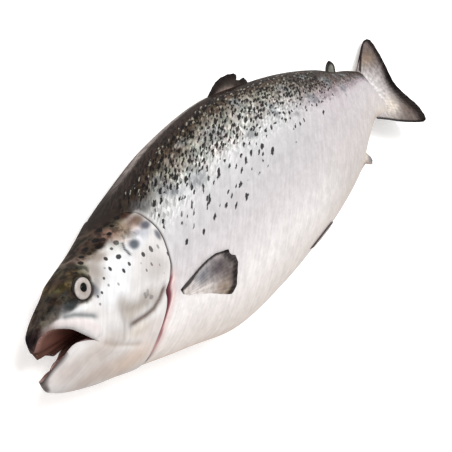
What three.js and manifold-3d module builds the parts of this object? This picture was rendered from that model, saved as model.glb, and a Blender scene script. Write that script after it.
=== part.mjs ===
// A raw whole salmon, one solid, lying on its right side. Millimetres, +Z up, resting on z = 0.
//
// The fish has its own axes: x runs from the snout tip to the tail, y from the belly to the back and
// z from the right flank to the left one. The last lines stand it on the floor and centre it.
import * as THREE from 'three';
import { mergeVertices } from 'three/addons/utils/BufferGeometryUtils.js';
import Module from 'manifold-3d';

// Driving dimensions
const forkLength = 780;       // snout tip to the fork of the tail
const floorBelowAxis = 41.7;  // trunk axis to the floor, less than its half width: the flesh is pressed flat
const neckX = 0.12 * forkLength;      // the head's own shape ends here
const peduncleEnd = 0.93 * forkLength;

// The body's outline along it, as [x, value]
const backLine = [[0, 4.5], [25, 20.5], [55, 38.5], [95, 51], [130, 63.5], [165, 75], [235, 94], [330, 105],
  [430, 96.5], [505, 85.5], [585, 68], [640, 52], [685, 42], [725.4, 29.3]];
const bellyLine = [[0, -35], [25, -46], [55, -55], [95, -64], [130, -73], [165, -81.5], [235, -98], [330, -98],
  [430, -90.5], [505, -83], [585, -67.5], [640, -41.5], [685, -26.5], [725.4, -30.5]];
const halfWidth = [[0, 4], [25, 11.5], [55, 20], [95, 29.5], [130, 36], [165, 39.5], [235, 43.5], [330, 46],
  [430, 43.5], [505, 37.5], [585, 28], [640, 19.8], [685, 12], [706, 8], [725.4, 1.4]];
const axisHeight = [[0, -7], [55, -4.5], [130, -3], [235, -1], [330, 0], [430, -2], [505, -6], [585, -11],
  [640, -14], [725.4, -16]];
const axisLean = [[0, 0], [540, 0], [600, -0.04], [660, -0.16], [725.4, -0.3]];   // rise of z with y
const boxiness = [[0, 2], [25, 2.3], [55, 2.8], [95, 2.9], [165, 2.6], [330, 2.15], [725.4, 2.1]];

// The mouth: the lips meet at the corner, and the gill cover's free edge runs round the head behind it
const mouth = { cornerX: 48, cornerHalfWidth: 18.5, cornerAngle: 105, snoutX: -1, chinX: -5.5,
  upperDrop: 20, lowerDrop: 12, throatX: 84, throatY: -16, throatRadius: 7, lipInset: 2.5, lipFullness: 0.85 };
const upperLip = [[-1, -0.5], [4, 7], [9, 9.5], [16, 9.8], [24, 6.8], [33, 1], [40, -7], [48, -16.5]];
const lowerLip = [[-5.5, -23.5], [3, -18], [14, -14.5], [28, -10], [38, -12], [48, -16.5]];
const gillEdge = [[0, 128], [18, 131], [33.5, 138], [42, 143.5], [54, 147.5], [65, 150.8], [73, 151.2],
  [80.5, 149.4], [85, 147.8], [88.5, 145], [91, 138], [93.5, 130], [97.5, 127.8], [101.6, 124.4],
  [109.5, 116.1], [120, 106.6], [134, 98.2], [156, 90], [180, 84]];
const gillStep = { coverRise: 1.3, slitDepth: 1.7, slitWidth: 6, fadeFrom: 14, fadeTo: 34, riseLength: 26 };

// How fast a meridian climbs from the lip to the neck: a blunt snout, then a nearly straight line
const snoutRise = [[0, 0], [0.1, 0.17], [0.3, 0.32], [0.59, 0.58], [0.71, 0.74], [1, 1]];
const chinRise = [[0, 0], [0.1, 0.2], [0.3, 0.36], [0.59, 0.62], [0.71, 0.74], [1, 1]];

// The right eye sits lower and deeper, as that side of the head is pressed towards the floor
const eye = { x: 55.2, y: 25.5, radius: 10.4, height: 4.4, tiltBack: 6, tiltUp: -5, rightDrop: 6, rightSink: 2.5 };

// Mesh fineness
const aroundCount = 48;
const headLoops = 19;
const trunkLoops = 37;
const throatLoops = 6;

const radians = THREE.MathUtils.degToRad;
const clamp = THREE.MathUtils.clamp;
const lerp = THREE.MathUtils.lerp;
const smoothstep = THREE.MathUtils.smoothstep;

// A smooth curve through [x, value] keys: cubic pieces whose slope at a key is that of its neighbours
function keyed(keys) {
  const slopes = keys.map((key, i) => {
    const before = keys[Math.max(i - 1, 0)];
    const after = keys[Math.min(i + 1, keys.length - 1)];
    return (after[1] - before[1]) / (after[0] - before[0]);
  });
  return (x) => {
    const at = clamp(x, keys[0][0], keys[keys.length - 1][0]);
    const i = Math.min(keys.findIndex((key, n) => n > 0 && at <= key[0]), keys.length - 1) - 1;
    const span = keys[i + 1][0] - keys[i][0];
    const t = (at - keys[i][0]) / span;
    const rise = t * t * (3 - 2 * t);
    return keys[i][1] * (1 - rise) + keys[i + 1][1] * rise
      + span * t * (1 - t) * (slopes[i] * (1 - t) - slopes[i + 1] * t);
  };
}

const backAt = keyed(backLine);
const bellyAt = keyed(bellyLine);
const widthAt = keyed(halfWidth);
const axisAt = keyed(axisHeight);
const boxAt = keyed(boxiness);
const leanAt = keyed(axisLean);
const upperLipAt = keyed(upperLip);
const lowerLipAt = keyed(lowerLip);
const gillEdgeAt = keyed(gillEdge);
const snoutRiseAt = keyed(snoutRise);
const chinRiseAt = keyed(chinRise);

const signedPower = (value, power) => Math.sign(value) * Math.abs(value) ** power;
const turnFromBack = (degrees) => 180 - Math.abs(180 - degrees);   // 0 at the back, 180 at the belly

// A point of the trunk: a superellipse between back and belly. The angle starts at the back, and 90 is
// the left side.
function trunkPoint(x, degrees) {
  const back = backAt(x);
  const belly = bellyAt(x);
  const power = 2 / boxAt(x);
  const y = (back + belly) / 2 + (back - belly) / 2 * signedPower(Math.cos(radians(degrees)), power);
  const across = widthAt(x) * signedPower(Math.sin(radians(degrees)), power);
  const z = axisAt(x) + leanAt(x) * y + across;
  return new THREE.Vector3(x, y, z);
}

// The lips' loop: seen from above each lip is a parabola whose ends are the corners of the mouth. The
// right side, which the fish lies on, hangs lower between the front and the corner.
function lipPoint(degrees) {
  const turn = turnFromBack(degrees);
  const side = degrees <= 180 ? 1 : -1;
  const isUpper = turn <= mouth.cornerAngle;
  const reach = isUpper ? turn / mouth.cornerAngle : (180 - turn) / (180 - mouth.cornerAngle);
  const across = Math.sin(radians(90 * reach ** mouth.lipFullness));
  const frontX = isUpper ? mouth.snoutX : mouth.chinX;
  const x = frontX + (mouth.cornerX - frontX) * across * across;
  const hang = smoothstep(x, frontX, frontX + 11) * (1 - 0.8 * smoothstep(x, 30, mouth.cornerX));
  const drop = side > 0 ? 0 : (isUpper ? mouth.upperDrop : mouth.lowerDrop) * hang;
  const y = (isUpper ? upperLipAt(x) : lowerLipAt(x)) - drop;
  return new THREE.Vector3(x, y, axisAt(x) + side * mouth.cornerHalfWidth * across);
}

// The skin ahead of the neck grows from the lips' loop to the neck's section along the snout's rise
function skinPoint(x, degrees) {
  const trunk = trunkPoint(x, degrees);
  if (x >= neckX) return trunk;
  const lip = lipPoint(degrees);
  const neck = trunkPoint(neckX, degrees);
  const way = clamp((x - lip.x) / (neckX - lip.x), 0, 1);
  const lower = smoothstep(turnFromBack(degrees), 85, 125);
  const rise = lerp(snoutRiseAt(Math.sqrt(way)), chinRiseAt(Math.sqrt(way)), lower);
  const head = new THREE.Vector3(x, lerp(lip.y, neck.y, rise), lerp(lip.z, neck.z, rise));
  return head.lerp(trunk, smoothstep(way, 0.45, 1));
}

// The gill cover lies proud of the trunk, and the slit is a groove just behind its edge
function gillRelief(x, degrees) {
  const turn = turnFromBack(degrees);
  const strength = smoothstep(turn, gillStep.fadeFrom, gillStep.fadeTo);
  const behind = x - gillEdgeAt(turn);
  if (behind <= 0) return strength * gillStep.coverRise * smoothstep(behind, -gillStep.riseLength, 0);
  return -strength * gillStep.slitDepth * Math.max(1 - behind / gillStep.slitWidth, 0);
}

function reliefPoint(x, degrees) {
  const point = skinPoint(x, degrees);
  const outward = new THREE.Vector3(0, point.y - (backAt(x) + bellyAt(x)) / 2, point.z - axisAt(x));
  return point.addScaledVector(outward.normalize(), gillRelief(x, degrees));
}

// The mouth's lining runs from just inside the lips back to the throat
function liningPoint(way, degrees) {
  const lip = lipPoint(degrees);
  const angle = radians(degrees);
  const throat = new THREE.Vector3(mouth.throatX, mouth.throatY + mouth.throatRadius * Math.cos(angle),
    axisAt(mouth.throatX) + mouth.throatRadius * Math.sin(angle));
  const middle = new THREE.Vector3(lip.x, -10, axisAt(lip.x));
  const inset = mouth.lipInset / Math.max(lip.distanceTo(middle), 1);
  return lip.lerp(middle, inset * smoothstep(way, 0, 0.12)).lerp(throat, way);
}

// A closed mesh from loops of equal length, with a point at each end
function closeLoops(loops, firstPole, lastPole) {
  const count = loops[0].length;
  const positions = [firstPole, ...loops.flat(), lastPole].flatMap((point) => point.toArray());
  const last = loops.length * count + 1;
  const faces = [];
  for (let k = 0; k < count; k++) {
    const next = (k + 1) % count;
    faces.push(0, 1 + next, 1 + k);
    for (let j = 0; j < loops.length - 1; j++) {
      const a = 1 + j * count;
      const b = a + count;
      faces.push(a + k, a + next, b + next, a + k, b + next, b + k);
    }
    const end = 1 + (loops.length - 1) * count;
    faces.push(end + k, end + next, last);
  }
  const geometry = new THREE.BufferGeometry();
  geometry.setAttribute('position', new THREE.Float32BufferAttribute(positions, 3));
  geometry.setIndex(faces);
  return geometry;
}

// The body: throat, mouth lining, lips, head, gill edge, trunk and the end of the tail stalk
function bodyGeometry() {
  const angles = Array.from({ length: aroundCount }, (_, k) => 360 * k / aroundCount);
  const loops = [];
  for (let j = 0; j < throatLoops; j++) {
    const way = 0.97 * (1 - j / throatLoops) ** 1.5;
    loops.push(angles.map((angle) => liningPoint(way, angle)));
  }
  for (let j = 0; j <= headLoops; j++) {
    const way = (j / headLoops) ** 1.5;
    loops.push(angles.map((angle) => {
      const startX = lipPoint(angle).x;
      return reliefPoint(lerp(startX, gillEdgeAt(turnFromBack(angle)), way), angle);
    }));
  }
  for (let j = 0; j <= trunkLoops; j++) {
    const way = (j / trunkLoops) ** 1.15;
    loops.push(angles.map((angle) => {
      const startX = gillEdgeAt(turnFromBack(angle)) + 1;
      return reliefPoint(lerp(startX, peduncleEnd, way), angle);
    }));
  }
  const tailZ = axisAt(peduncleEnd);
  return closeLoops(loops, new THREE.Vector3(mouth.throatX, mouth.throatY, axisAt(mouth.throatX)),
    new THREE.Vector3(peduncleEnd + 8, 0, tailZ));
}

// A fin: a thin plate ruled from a base curve to a margin curve. The height function gives the z of
// its middle, and it is thinner at the margin.
function finGeometry({ base, margin, height, baseThickness, edgeThickness, alongCount, outCount }) {
  const baseCurve = new THREE.SplineCurve(base.map(([x, y]) => new THREE.Vector2(x, y)));
  const marginCurve = new THREE.SplineCurve(margin.map(([x, y]) => new THREE.Vector2(x, y)));
  const positions = [];
  for (const side of [1, -1]) {
    for (let j = 0; j <= outCount; j++) {
      for (let i = 0; i <= alongCount; i++) {
        const out = j / outCount;
        const spot = baseCurve.getPoint(i / alongCount).lerp(marginCurve.getPoint(i / alongCount), out);
        const thickness = lerp(baseThickness, edgeThickness, out);
        positions.push(spot.x, spot.y, height(spot.x, spot.y, out) + side * thickness / 2);
      }
    }
  }
  const across = alongCount + 1;
  const under = across * (outCount + 1);
  const faces = [];
  for (let j = 0; j < outCount; j++) {
    for (let i = 0; i < alongCount; i++) {
      const a = j * across + i;
      const c = a + across;
      faces.push(a, a + 1, c + 1, a, c + 1, c);
      faces.push(under + a, under + c + 1, under + a + 1, under + a, under + c, under + c + 1);
    }
  }
  const rim = [];
  for (let i = 0; i < alongCount; i++) rim.push(i);
  for (let j = 0; j < outCount; j++) rim.push(j * across + alongCount);
  for (let i = alongCount; i > 0; i--) rim.push(outCount * across + i);
  for (let j = outCount; j > 0; j--) rim.push(j * across);
  rim.forEach((a, n) => {
    const b = rim[(n + 1) % rim.length];
    faces.push(a, under + a, under + b, a, under + b, b);
  });
  const geometry = new THREE.BufferGeometry();
  geometry.setAttribute('position', new THREE.Float32BufferAttribute(positions, 3));
  geometry.setIndex(faces);
  return geometry;
}

// The skin's height at a place of the side view, found by halving the angle between back and belly
function flankHeight(x, y, side) {
  let nearBack = 0;
  let nearBelly = 180;
  for (let step = 0; step < 24; step++) {
    const turn = (nearBack + nearBelly) / 2;
    if (skinPoint(x, turn).y > y) nearBack = turn;
    else nearBelly = turn;
  }
  return skinPoint(x, side > 0 ? nearBack : 360 - nearBack).z;
}

// The tail fin leans: its upper lobe droops to the floor and its lower lobe is raised
const tailLean = -0.3;
const tailHeight = (x, y) => -16 + tailLean * y;
const finAxis = (x) => axisAt(x);

const fins = {
  tail: { base: [[700, 30], [704, 8], [700, -10], [682, -19]],
    margin: [[722, 31], [750, 46.5], [775, 57.5], [790, 59.5], [799, 56], [800.5, 47], [796, 27], [788, 7],
      [784, -5], [786, -17], [793, -32], [800, -45], [801, -58], [797, -66.5], [784, -67], [757, -58],
      [731, -47.5], [708, -36.5], [688, -28]],
    height: tailHeight, baseThickness: 9, edgeThickness: 2, alongCount: 32, outCount: 6 },
  back: { base: [[342, 94], [380, 92], [427, 87]],
    margin: [[346, 105], [353, 108.5], [363, 112], [376, 114.5], [390, 115.5], [402, 114.5], [411, 111.5],
      [410.5, 108], [407, 106], [414, 104], [424, 104], [429.5, 100], [431, 96]],
    height: finAxis, baseThickness: 6, edgeThickness: 2, alongCount: 18, outCount: 4 },
  adipose: { base: [[608, 50], [630, 44]],
    margin: [[617, 57], [625, 63.5], [634, 66.5], [640, 64], [644, 58], [640, 49]],
    height: finAxis, baseThickness: 5, edgeThickness: 2, alongCount: 7, outCount: 4 },
  anal: { base: [[622, -38], [562, -58]],
    margin: [[632, -46], [645, -58], [651.5, -66], [651.5, -70.5], [645, -73], [637, -69], [628, -66.5],
      [612, -69], [596, -71.5], [582, -71]],
    height: finAxis, baseThickness: 6, edgeThickness: 2, alongCount: 14, outCount: 4 },
};

// Pectoral and pelvic fins and the upper jaw's plates lie along the flank, half sunk in it
function foldedFin({ base, margin, rise, side, baseThickness, edgeThickness, alongCount, outCount }) {
  return finGeometry({ base, margin, alongCount, outCount, baseThickness, edgeThickness,
    height: (x, y, out) => flankHeight(x, y, side) + side * rise * out });
}

const finFold = { baseThickness: 7, edgeThickness: 4 };
const jawFold = { baseThickness: 5, edgeThickness: 3, rise: 0.3, alongCount: 9, outCount: 3 };
const jawPlate = { base: [[13, 11], [27, 5], [36, -2], [50, -17]],
  margin: [[16, 17], [31, 14.5], [46, 8], [56, 0], [53, -9]] };
const pelvicFin = { alongCount: 8, outCount: 5, base: [[385, -83], [397, -86]],
  margin: [[430, -79], [452, -78], [458, -81], [450, -85], [432, -88]] };
const foldedFins = [
  { ...finFold, side: 1, rise: 2.5, alongCount: 14, outCount: 6, base: [[146.5, -21.5], [147, -27], [150, -33]],
    margin: [[170, -16], [178, -14.4], [190, -13], [203, -12.9], [213, -15], [222, -17.2], [223, -22.3],
      [228.5, -26], [229, -33], [224, -41], [218.5, -50], [213, -55.5], [205.5, -58.2], [192, -53.5]] },
  { ...finFold, side: -1, rise: 0.5, alongCount: 10, outCount: 6, base: [[146, -38], [150, -47]],
    margin: [[205, -58], [222, -62], [226, -72], [216, -80], [203, -82], [186, -74]] },
  { ...finFold, ...pelvicFin, side: 1, rise: 1.5 },
  { ...finFold, ...pelvicFin, side: -1, rise: 1 },
  { ...jawFold, ...jawPlate, side: 1 },
  { ...jawFold, ...jawPlate, side: -1 },
];

const wasm = await Module();
wasm.setup();

function toSolid(geometry) {
  geometry.deleteAttribute('normal');
  geometry.deleteAttribute('uv');
  const merged = mergeVertices(geometry, 1e-4);
  return new wasm.Manifold(new wasm.Mesh({ numProp: 3,
    vertProperties: new Float32Array(merged.attributes.position.array),
    triVerts: new Uint32Array(merged.index.array) }));
}

function toGeometry(solid) {
  const { vertProperties, triVerts } = solid.getMesh();
  const geometry = new THREE.BufferGeometry();
  geometry.setAttribute('position', new THREE.BufferAttribute(new Float32Array(vertProperties), 3));
  geometry.setIndex(new THREE.BufferAttribute(new Uint32Array(triVerts), 1));
  geometry.computeVertexNormals();
  return geometry;
}

// A bulging eye on each side of the head
function eyeGeometry(side) {
  const geometry = new THREE.SphereGeometry(eye.radius, 18, 10);
  geometry.scale(1, 1, eye.height / eye.radius);
  geometry.rotateY(-side * radians(eye.tiltBack));
  geometry.rotateX(-side * radians(eye.tiltUp));
  const y = side > 0 ? eye.y : eye.y - eye.rightDrop;
  const depth = side > 0 ? 0.7 : 0.7 + eye.rightSink;
  geometry.translate(eye.x, y, flankHeight(eye.x, y, side) - side * depth);
  return geometry;
}

function salmonSolid() {
  let fish = toSolid(bodyGeometry());
  for (const fin of Object.values(fins)) fish = fish.add(toSolid(finGeometry(fin)));
  for (const fin of foldedFins) fish = fish.add(toSolid(foldedFin(fin)));
  for (const side of [1, -1]) fish = fish.add(toSolid(eyeGeometry(side)));
  const belowFloor = new THREE.BoxGeometry(1200, 600, 100);
  belowFloor.translate(forkLength / 2, 0, -floorBelowAxis - 50);
  return fish.subtract(toSolid(belowFloor));
}

const flesh = new THREE.MeshStandardMaterial({ color: 0xb9bcc0, roughness: 0.32, metalness: 0.35 });
const salmonGeometry = toGeometry(salmonSolid());
salmonGeometry.computeBoundingBox();
const middle = salmonGeometry.boundingBox.getCenter(new THREE.Vector3());
const salmon = new THREE.Mesh(salmonGeometry, flesh);
salmon.name = 'salmon';
salmon.position.set(-middle.x, -middle.y, floorBelowAxis);

const group = new THREE.Group();
group.add(salmon);
export default group;
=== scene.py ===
import bpy
import numpy as np
from mathutils import Matrix, Vector


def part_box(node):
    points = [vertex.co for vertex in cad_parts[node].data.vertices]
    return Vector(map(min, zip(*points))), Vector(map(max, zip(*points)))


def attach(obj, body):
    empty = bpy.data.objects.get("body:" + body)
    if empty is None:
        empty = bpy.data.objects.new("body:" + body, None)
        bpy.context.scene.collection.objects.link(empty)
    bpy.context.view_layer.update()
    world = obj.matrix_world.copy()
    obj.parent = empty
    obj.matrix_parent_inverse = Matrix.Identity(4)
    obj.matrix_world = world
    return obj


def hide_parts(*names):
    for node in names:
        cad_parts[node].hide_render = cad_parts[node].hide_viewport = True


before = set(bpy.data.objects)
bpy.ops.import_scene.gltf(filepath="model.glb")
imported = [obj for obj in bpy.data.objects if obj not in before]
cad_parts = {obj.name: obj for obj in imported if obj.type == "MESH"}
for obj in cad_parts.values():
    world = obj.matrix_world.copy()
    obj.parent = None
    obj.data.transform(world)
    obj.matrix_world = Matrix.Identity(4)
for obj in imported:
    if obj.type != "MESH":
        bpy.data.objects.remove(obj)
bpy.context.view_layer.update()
print("frame loaded")

mm = 0.001

# The camera, in metres: it looks down past the head along the fish, rolled on its side
cameraPlace = {"place": (-1.0198, 0.2095, 0.7012), "lookAt": (-0.1097, -0.0203, 0.045),
               "roll": 75.72, "lens": 94.16}

# The fish's own axes, in millimetres: x from the snout to the tail, y from the belly to the back and
# z from the right flank to the left one. Curves along it are keys of [x, value].
body = {
    "backLine": [[0, 4.5], [25, 20.5], [55, 38.5], [95, 51], [130, 63.5], [165, 75], [235, 94], [330, 105],
                 [430, 96.5], [505, 85.5], [585, 68], [640, 52], [685, 42], [725.4, 29.3]],
    "bellyLine": [[0, -35], [25, -46], [55, -55], [95, -64], [130, -73], [165, -81.5], [235, -98],
                  [330, -98], [430, -90.5], [505, -83], [585, -67.5], [640, -41.5], [685, -26.5],
                  [725.4, -30.5]],
    "halfWidth": [[0, 4], [25, 11.5], [55, 20], [95, 29.5], [130, 36], [165, 39.5], [235, 43.5], [330, 46],
                  [430, 43.5], [505, 37.5], [585, 28], [640, 19.8], [685, 12], [706, 8], [725.4, 1.4]],
    "axisHeight": [[0, -7], [55, -4.5], [130, -3], [235, -1], [330, 0], [430, -2], [505, -6], [585, -11],
                   [640, -14], [725.4, -16]],
    "axisLean": [[0, 0], [540, 0], [600, -0.04], [660, -0.16], [725.4, -0.3]],
    "boxiness": [[0, 2.0], [25, 2.3], [55, 2.8], [95, 2.9], [165, 2.6], [330, 2.15], [725.4, 2.1]],
    "neckX": 93.6, "stalkEnd": 725.4, "floorBelowAxis": 41.7, "floorSoftness": 0.6,
    # the rows of the skin; these powers crowd them towards the lips, and on the trunk towards the gill cover
    "aroundCount": 320, "liningRows": 30, "headRows": 104, "trunkRows": 136,
    "liningPower": 1.7, "headPower": 1.35, "trunkPower": 1.12, "liningReach": 0.97, "tailPole": 6,
}
mouth = {
    "upperLip": [[-1, -0.5], [4, 7], [9, 9.5], [16, 9.8], [24, 6.8], [33, 1], [40, -7], [48, -16.5]],
    "lowerLip": [[-5.5, -23.5], [3, -18], [14, -14.5], [28, -10], [38, -12], [48, -16.5]],
    "snoutRise": [[0, 0], [0.1, 0.17], [0.3, 0.32], [0.59, 0.58], [0.71, 0.74], [1, 1]],
    "chinRise": [[0, 0], [0.1, 0.2], [0.3, 0.36], [0.59, 0.62], [0.71, 0.74], [1, 1]],
    "cornerX": 48, "cornerHalfWidth": 18.5, "cornerAngle": 105, "snoutX": -1, "chinX": -5.5, "middleY": -10,
    "lipFullness": 0.85, "chinFrom": 85, "chinTo": 125, "trunkFrom": 0.45,
    # the right side hangs by the drops, reached over dropLength, and is lifted again towards the corner
    "upperDrop": 20, "lowerDrop": 12, "dropLength": 11, "cornerLift": 0.8, "cornerLiftFrom": 30,
    "throatX": 84, "throatY": -16, "throatRadius": 7, "lipInset": 2.5, "insetWay": 0.12,
}
# The free edge of the gill cover as [angle from the back, x], and the step and slit behind it
gill = {
    "edge": [[0, 128], [18, 131], [33.5, 138], [42, 143.5], [54, 147.5], [65, 150.8], [73, 151.2],
             [80.5, 149.4], [85, 147.8], [88.5, 145], [91, 138], [93.5, 130], [97.5, 127.8], [101.6, 124.4],
             [109.5, 116.1], [120, 106.6], [134, 98.2], [156, 90], [180, 84]],
    "fadeFrom": 14, "fadeTo": 34, "riseLength": 26, "coverRise": 1.3,
    # how far behind the edge the slit's dark flesh shows, as [angle from the back, millimetres]
    "gape": [[0, 2.6], [60, 3], [80, 3.4], [88, 4.2], [91, 7], [93.5, 9], [98, 8.6], [104, 6.2], [112, 5],
             [126, 4.6], [140, 4], [180, 2]],
    # the rows of the edge itself, as [how far behind it, height over the skin], for a gape of fullGape
    "lip": [[-0.6, 1.3], [0.2, 0.8], [0, -0.1], [-0.7, -0.9], [-0.4, -1.5], [0.8, -1.7], [2.6, -1.5],
            [4.6, -0.9], [6.6, -0.3]],
    "fullGape": 6, "rowStep": 0.4, "rowsBefore": 1.2, "rowsAfter": 1.4,
    # the maroon lies between these angles from the back, fading over each pair; the thin line of painted
    # shade under the cover's edge is above it
    "maroonTop": (88.5, 91.5), "maroonBottom": (160, 125), "throatSpread": 1.6, "thinTop": (22, 60),
    "thinStrength": 0.9, "pinkReach": 9, "pinkStrength": 0.75,
}


def keyed(keys):
    # a smooth curve through [x, value] keys: cubic pieces whose slope at a key is that of its neighbours
    places, values = np.array(keys, float).T
    after = np.minimum(np.arange(len(places)) + 1, len(places) - 1)
    before = np.maximum(np.arange(len(places)) - 1, 0)
    slopes = (values[after] - values[before]) / (places[after] - places[before])

    def curve(x):
        at = np.clip(x, places[0], places[-1])
        i = np.clip(np.searchsorted(places, at) - 1, 0, len(places) - 2)
        span = places[i + 1] - places[i]
        t = (at - places[i]) / span
        rise = t * t * (3 - 2 * t)
        bend = span * t * (1 - t) * (slopes[i] * (1 - t) - slopes[i + 1] * t)
        return values[i] * (1 - rise) + values[i + 1] * rise + bend
    return curve


backAt = keyed(body["backLine"])
bellyAt = keyed(body["bellyLine"])
widthAt = keyed(body["halfWidth"])
axisAt = keyed(body["axisHeight"])
boxAt = keyed(body["boxiness"])
leanAt = keyed(body["axisLean"])
upperLipAt = keyed(mouth["upperLip"])
lowerLipAt = keyed(mouth["lowerLip"])
snoutRiseAt = keyed(mouth["snoutRise"])
chinRiseAt = keyed(mouth["chinRise"])
gillEdgeAt = keyed(gill["edge"])
gapeAt = keyed(gill["gape"])

# From the fish's axes to the frame: the chin's tip, the belly's lowest place and the floor fix the way
bellyLowest = bellyAt(np.linspace(200, 400, 401)).min()
home = np.array(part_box("salmon")[0]) / mm - [mouth["chinX"], bellyLowest, -body["floorBelowAxis"]]


def toFrame(points):
    return (points + home) * mm


def mix(a, b, share):
    return a + (b - a) * share


def smooth(start, end, value):
    t = np.clip((value - start) / (end - start), 0, 1)
    return t * t * (3 - 2 * t)


def turnFromBack(degrees):
    return 180 - np.abs(180 - degrees)    # 0 at the back, 180 at the belly


def signedPower(value, power):
    return np.sign(value) * np.abs(value) ** power


def trunkPoint(x, degrees):
    # a superellipse between back and belly: the angle starts at the back, and 90 is the left side
    back, belly, power = backAt(x), bellyAt(x), 2 / boxAt(x)
    up, out = np.cos(np.radians(degrees)), np.sin(np.radians(degrees))
    y = (back + belly) / 2 + (back - belly) / 2 * signedPower(up, power)
    z = axisAt(x) + leanAt(x) * y + widthAt(x) * signedPower(out, power)
    return np.stack([x, y, z], -1)


def lipPoint(degrees):
    # seen from above each lip is a parabola whose ends are the corners of the mouth
    turn = turnFromBack(degrees)
    isUpper = turn <= mouth["cornerAngle"]
    reach = np.where(isUpper, turn / mouth["cornerAngle"], (180 - turn) / (180 - mouth["cornerAngle"]))
    across = np.sin(np.radians(90 * reach ** mouth["lipFullness"]))
    frontX = np.where(isUpper, mouth["snoutX"], mouth["chinX"])
    x = frontX + (mouth["cornerX"] - frontX) * across ** 2
    side = np.where(degrees <= 180, 1, -1)
    # the right side, which the fish lies on, hangs lower between the front and the corner
    drop = np.where(isUpper, mouth["upperDrop"], mouth["lowerDrop"]) * (side < 0)
    lift = mouth["cornerLift"] * smooth(mouth["cornerLiftFrom"], mouth["cornerX"], x)
    hang = smooth(frontX, frontX + mouth["dropLength"], x) * (1 - lift)
    y = np.where(isUpper, upperLipAt(x), lowerLipAt(x)) - drop * hang
    return np.stack([x, y, axisAt(x) + side * mouth["cornerHalfWidth"] * across], -1)


def skinPoint(x, degrees):
    # ahead of the neck the skin grows from the lips' loop to the neck's section along the snout's rise
    x, degrees = np.broadcast_arrays(np.asarray(x, float), np.asarray(degrees, float))
    trunk, lip = trunkPoint(x, degrees), lipPoint(degrees)
    neck = trunkPoint(np.full_like(x, body["neckX"]), degrees)
    way = np.clip((x - lip[..., 0]) / (body["neckX"] - lip[..., 0]), 0, 1)
    lower = smooth(mouth["chinFrom"], mouth["chinTo"], turnFromBack(degrees))
    rise = mix(snoutRiseAt(np.sqrt(way)), chinRiseAt(np.sqrt(way)), lower)
    head = mix(lip, neck, rise[..., None])
    head[..., 0] = x
    return mix(head, trunk, smooth(mouth["trunkFrom"], 1, way)[..., None])


def liningPoint(way, degrees):
    # from just inside the lips back to a small ring at the throat
    way, degrees = np.broadcast_arrays(np.asarray(way, float), np.asarray(degrees, float))
    lip, angle = lipPoint(degrees), np.radians(degrees)
    throatX = np.full_like(way, mouth["throatX"])
    throat = np.stack([throatX, mouth["throatY"] + mouth["throatRadius"] * np.cos(angle),
                       axisAt(throatX) + mouth["throatRadius"] * np.sin(angle)], -1)
    middle = np.stack([lip[..., 0], np.full_like(way, mouth["middleY"]), axisAt(lip[..., 0])], -1)
    inward = middle - lip
    inset = mouth["lipInset"] * smooth(0, mouth["insetWay"], way)
    inset = inset / np.maximum(np.linalg.norm(inward, axis=-1), 1)
    return mix(lip + inward * inset[..., None], throat, way[..., None])


def flankTurn(x, y):
    # the angle round the body where the skin passes the height y of the side view, found by halving
    low, high = np.zeros_like(x), np.full_like(x, 180.0)
    for _ in range(22):
        turn = (low + high) / 2
        above = skinPoint(x, turn)[..., 1] > y
        low, high = np.where(above, turn, low), np.where(above, high, turn)
    return low


def flankHeight(x, y, side):
    turn = flankTurn(x, y)
    return skinPoint(x, turn if side > 0 else 360 - turn)[..., 2]


def normalsOf(points):
    # of a grid that is closed round its columns: the cross product of its two central differences
    alongRows = np.gradient(points, axis=0)
    roundColumns = (np.roll(points, -1, axis=1) - np.roll(points, 1, axis=1)) / 2
    normal = np.cross(roundColumns, alongRows)
    return normal / np.maximum(np.linalg.norm(normal, axis=-1, keepdims=True), 1e-9)


def onFloor(points):
    # flesh flattens softly against the floor: height = softness * log(1 + exp(height / softness))
    soft, floor = body["floorSoftness"], -body["floorBelowAxis"]
    points = points.copy()
    points[..., 2] = floor + soft * np.logaddexp(0, (points[..., 2] - floor) / soft)
    return points


def nearPath(x, y, path):
    # the distance in the side view to a path of straight stretches, and the share of the path at its foot
    path = np.array(path, float)
    lengths = np.linalg.norm(np.diff(path, axis=0), axis=1)
    begins = np.concatenate([[0], np.cumsum(lengths)])
    best, share = np.full(x.shape, 1e9), np.zeros(x.shape)
    for i, length in enumerate(lengths):
        start, step = path[i], path[i + 1] - path[i]
        t = np.clip(((x - start[0]) * step[0] + (y - start[1]) * step[1]) / length ** 2, 0, 1)
        away = np.hypot(x - start[0] - t * step[0], y - start[1] - t * step[1])
        share = np.where(away < best, (begins[i] + t * length) / begins[-1], share)
        best = np.minimum(away, best)
    return best, share


def ripple(x, y, size, seed):
    # a soft uneven field of about -1 to 1: six added plane waves of seeded direction, length and phase
    draw = np.random.default_rng(seed)
    total = np.zeros(np.broadcast(x, y).shape)
    for _ in range(6):
        angle, stretch = draw.uniform(0, 2 * np.pi), draw.uniform(0.6, 1.6)
        across = x * np.cos(angle) + y * np.sin(angle)
        phase = draw.uniform(0, 2 * np.pi)
        total += np.sin(2 * np.pi * across * stretch / size + phase)
    return total / 3.2


def closedFaces(rows, columns, flip=False, first=0):
    # the quads of a grid that is closed round its columns, and a fan of triangles to a pole at either end;
    # the poles are numbered after the grid, the one beside its first row before the other
    row, column = np.meshgrid(np.arange(rows - 1), np.arange(columns), indexing="ij")
    here, beside = row * columns + column, row * columns + (column + 1) % columns
    quads = np.stack([here, beside, beside + columns, here + columns], -1).reshape(-1, 4)
    here = np.arange(columns)
    beside = (here + 1) % columns
    total, last = rows * columns, (rows - 1) * columns
    startFan = np.stack([np.full(columns, total), beside, here], -1)
    endFan = np.stack([last + here, last + beside, np.full(columns, total + 1)], -1)
    faces = []
    for part in (quads, startFan, endFan):
        faces += (part[:, ::-1 if flip else 1] + first).tolist()
    return faces


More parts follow.
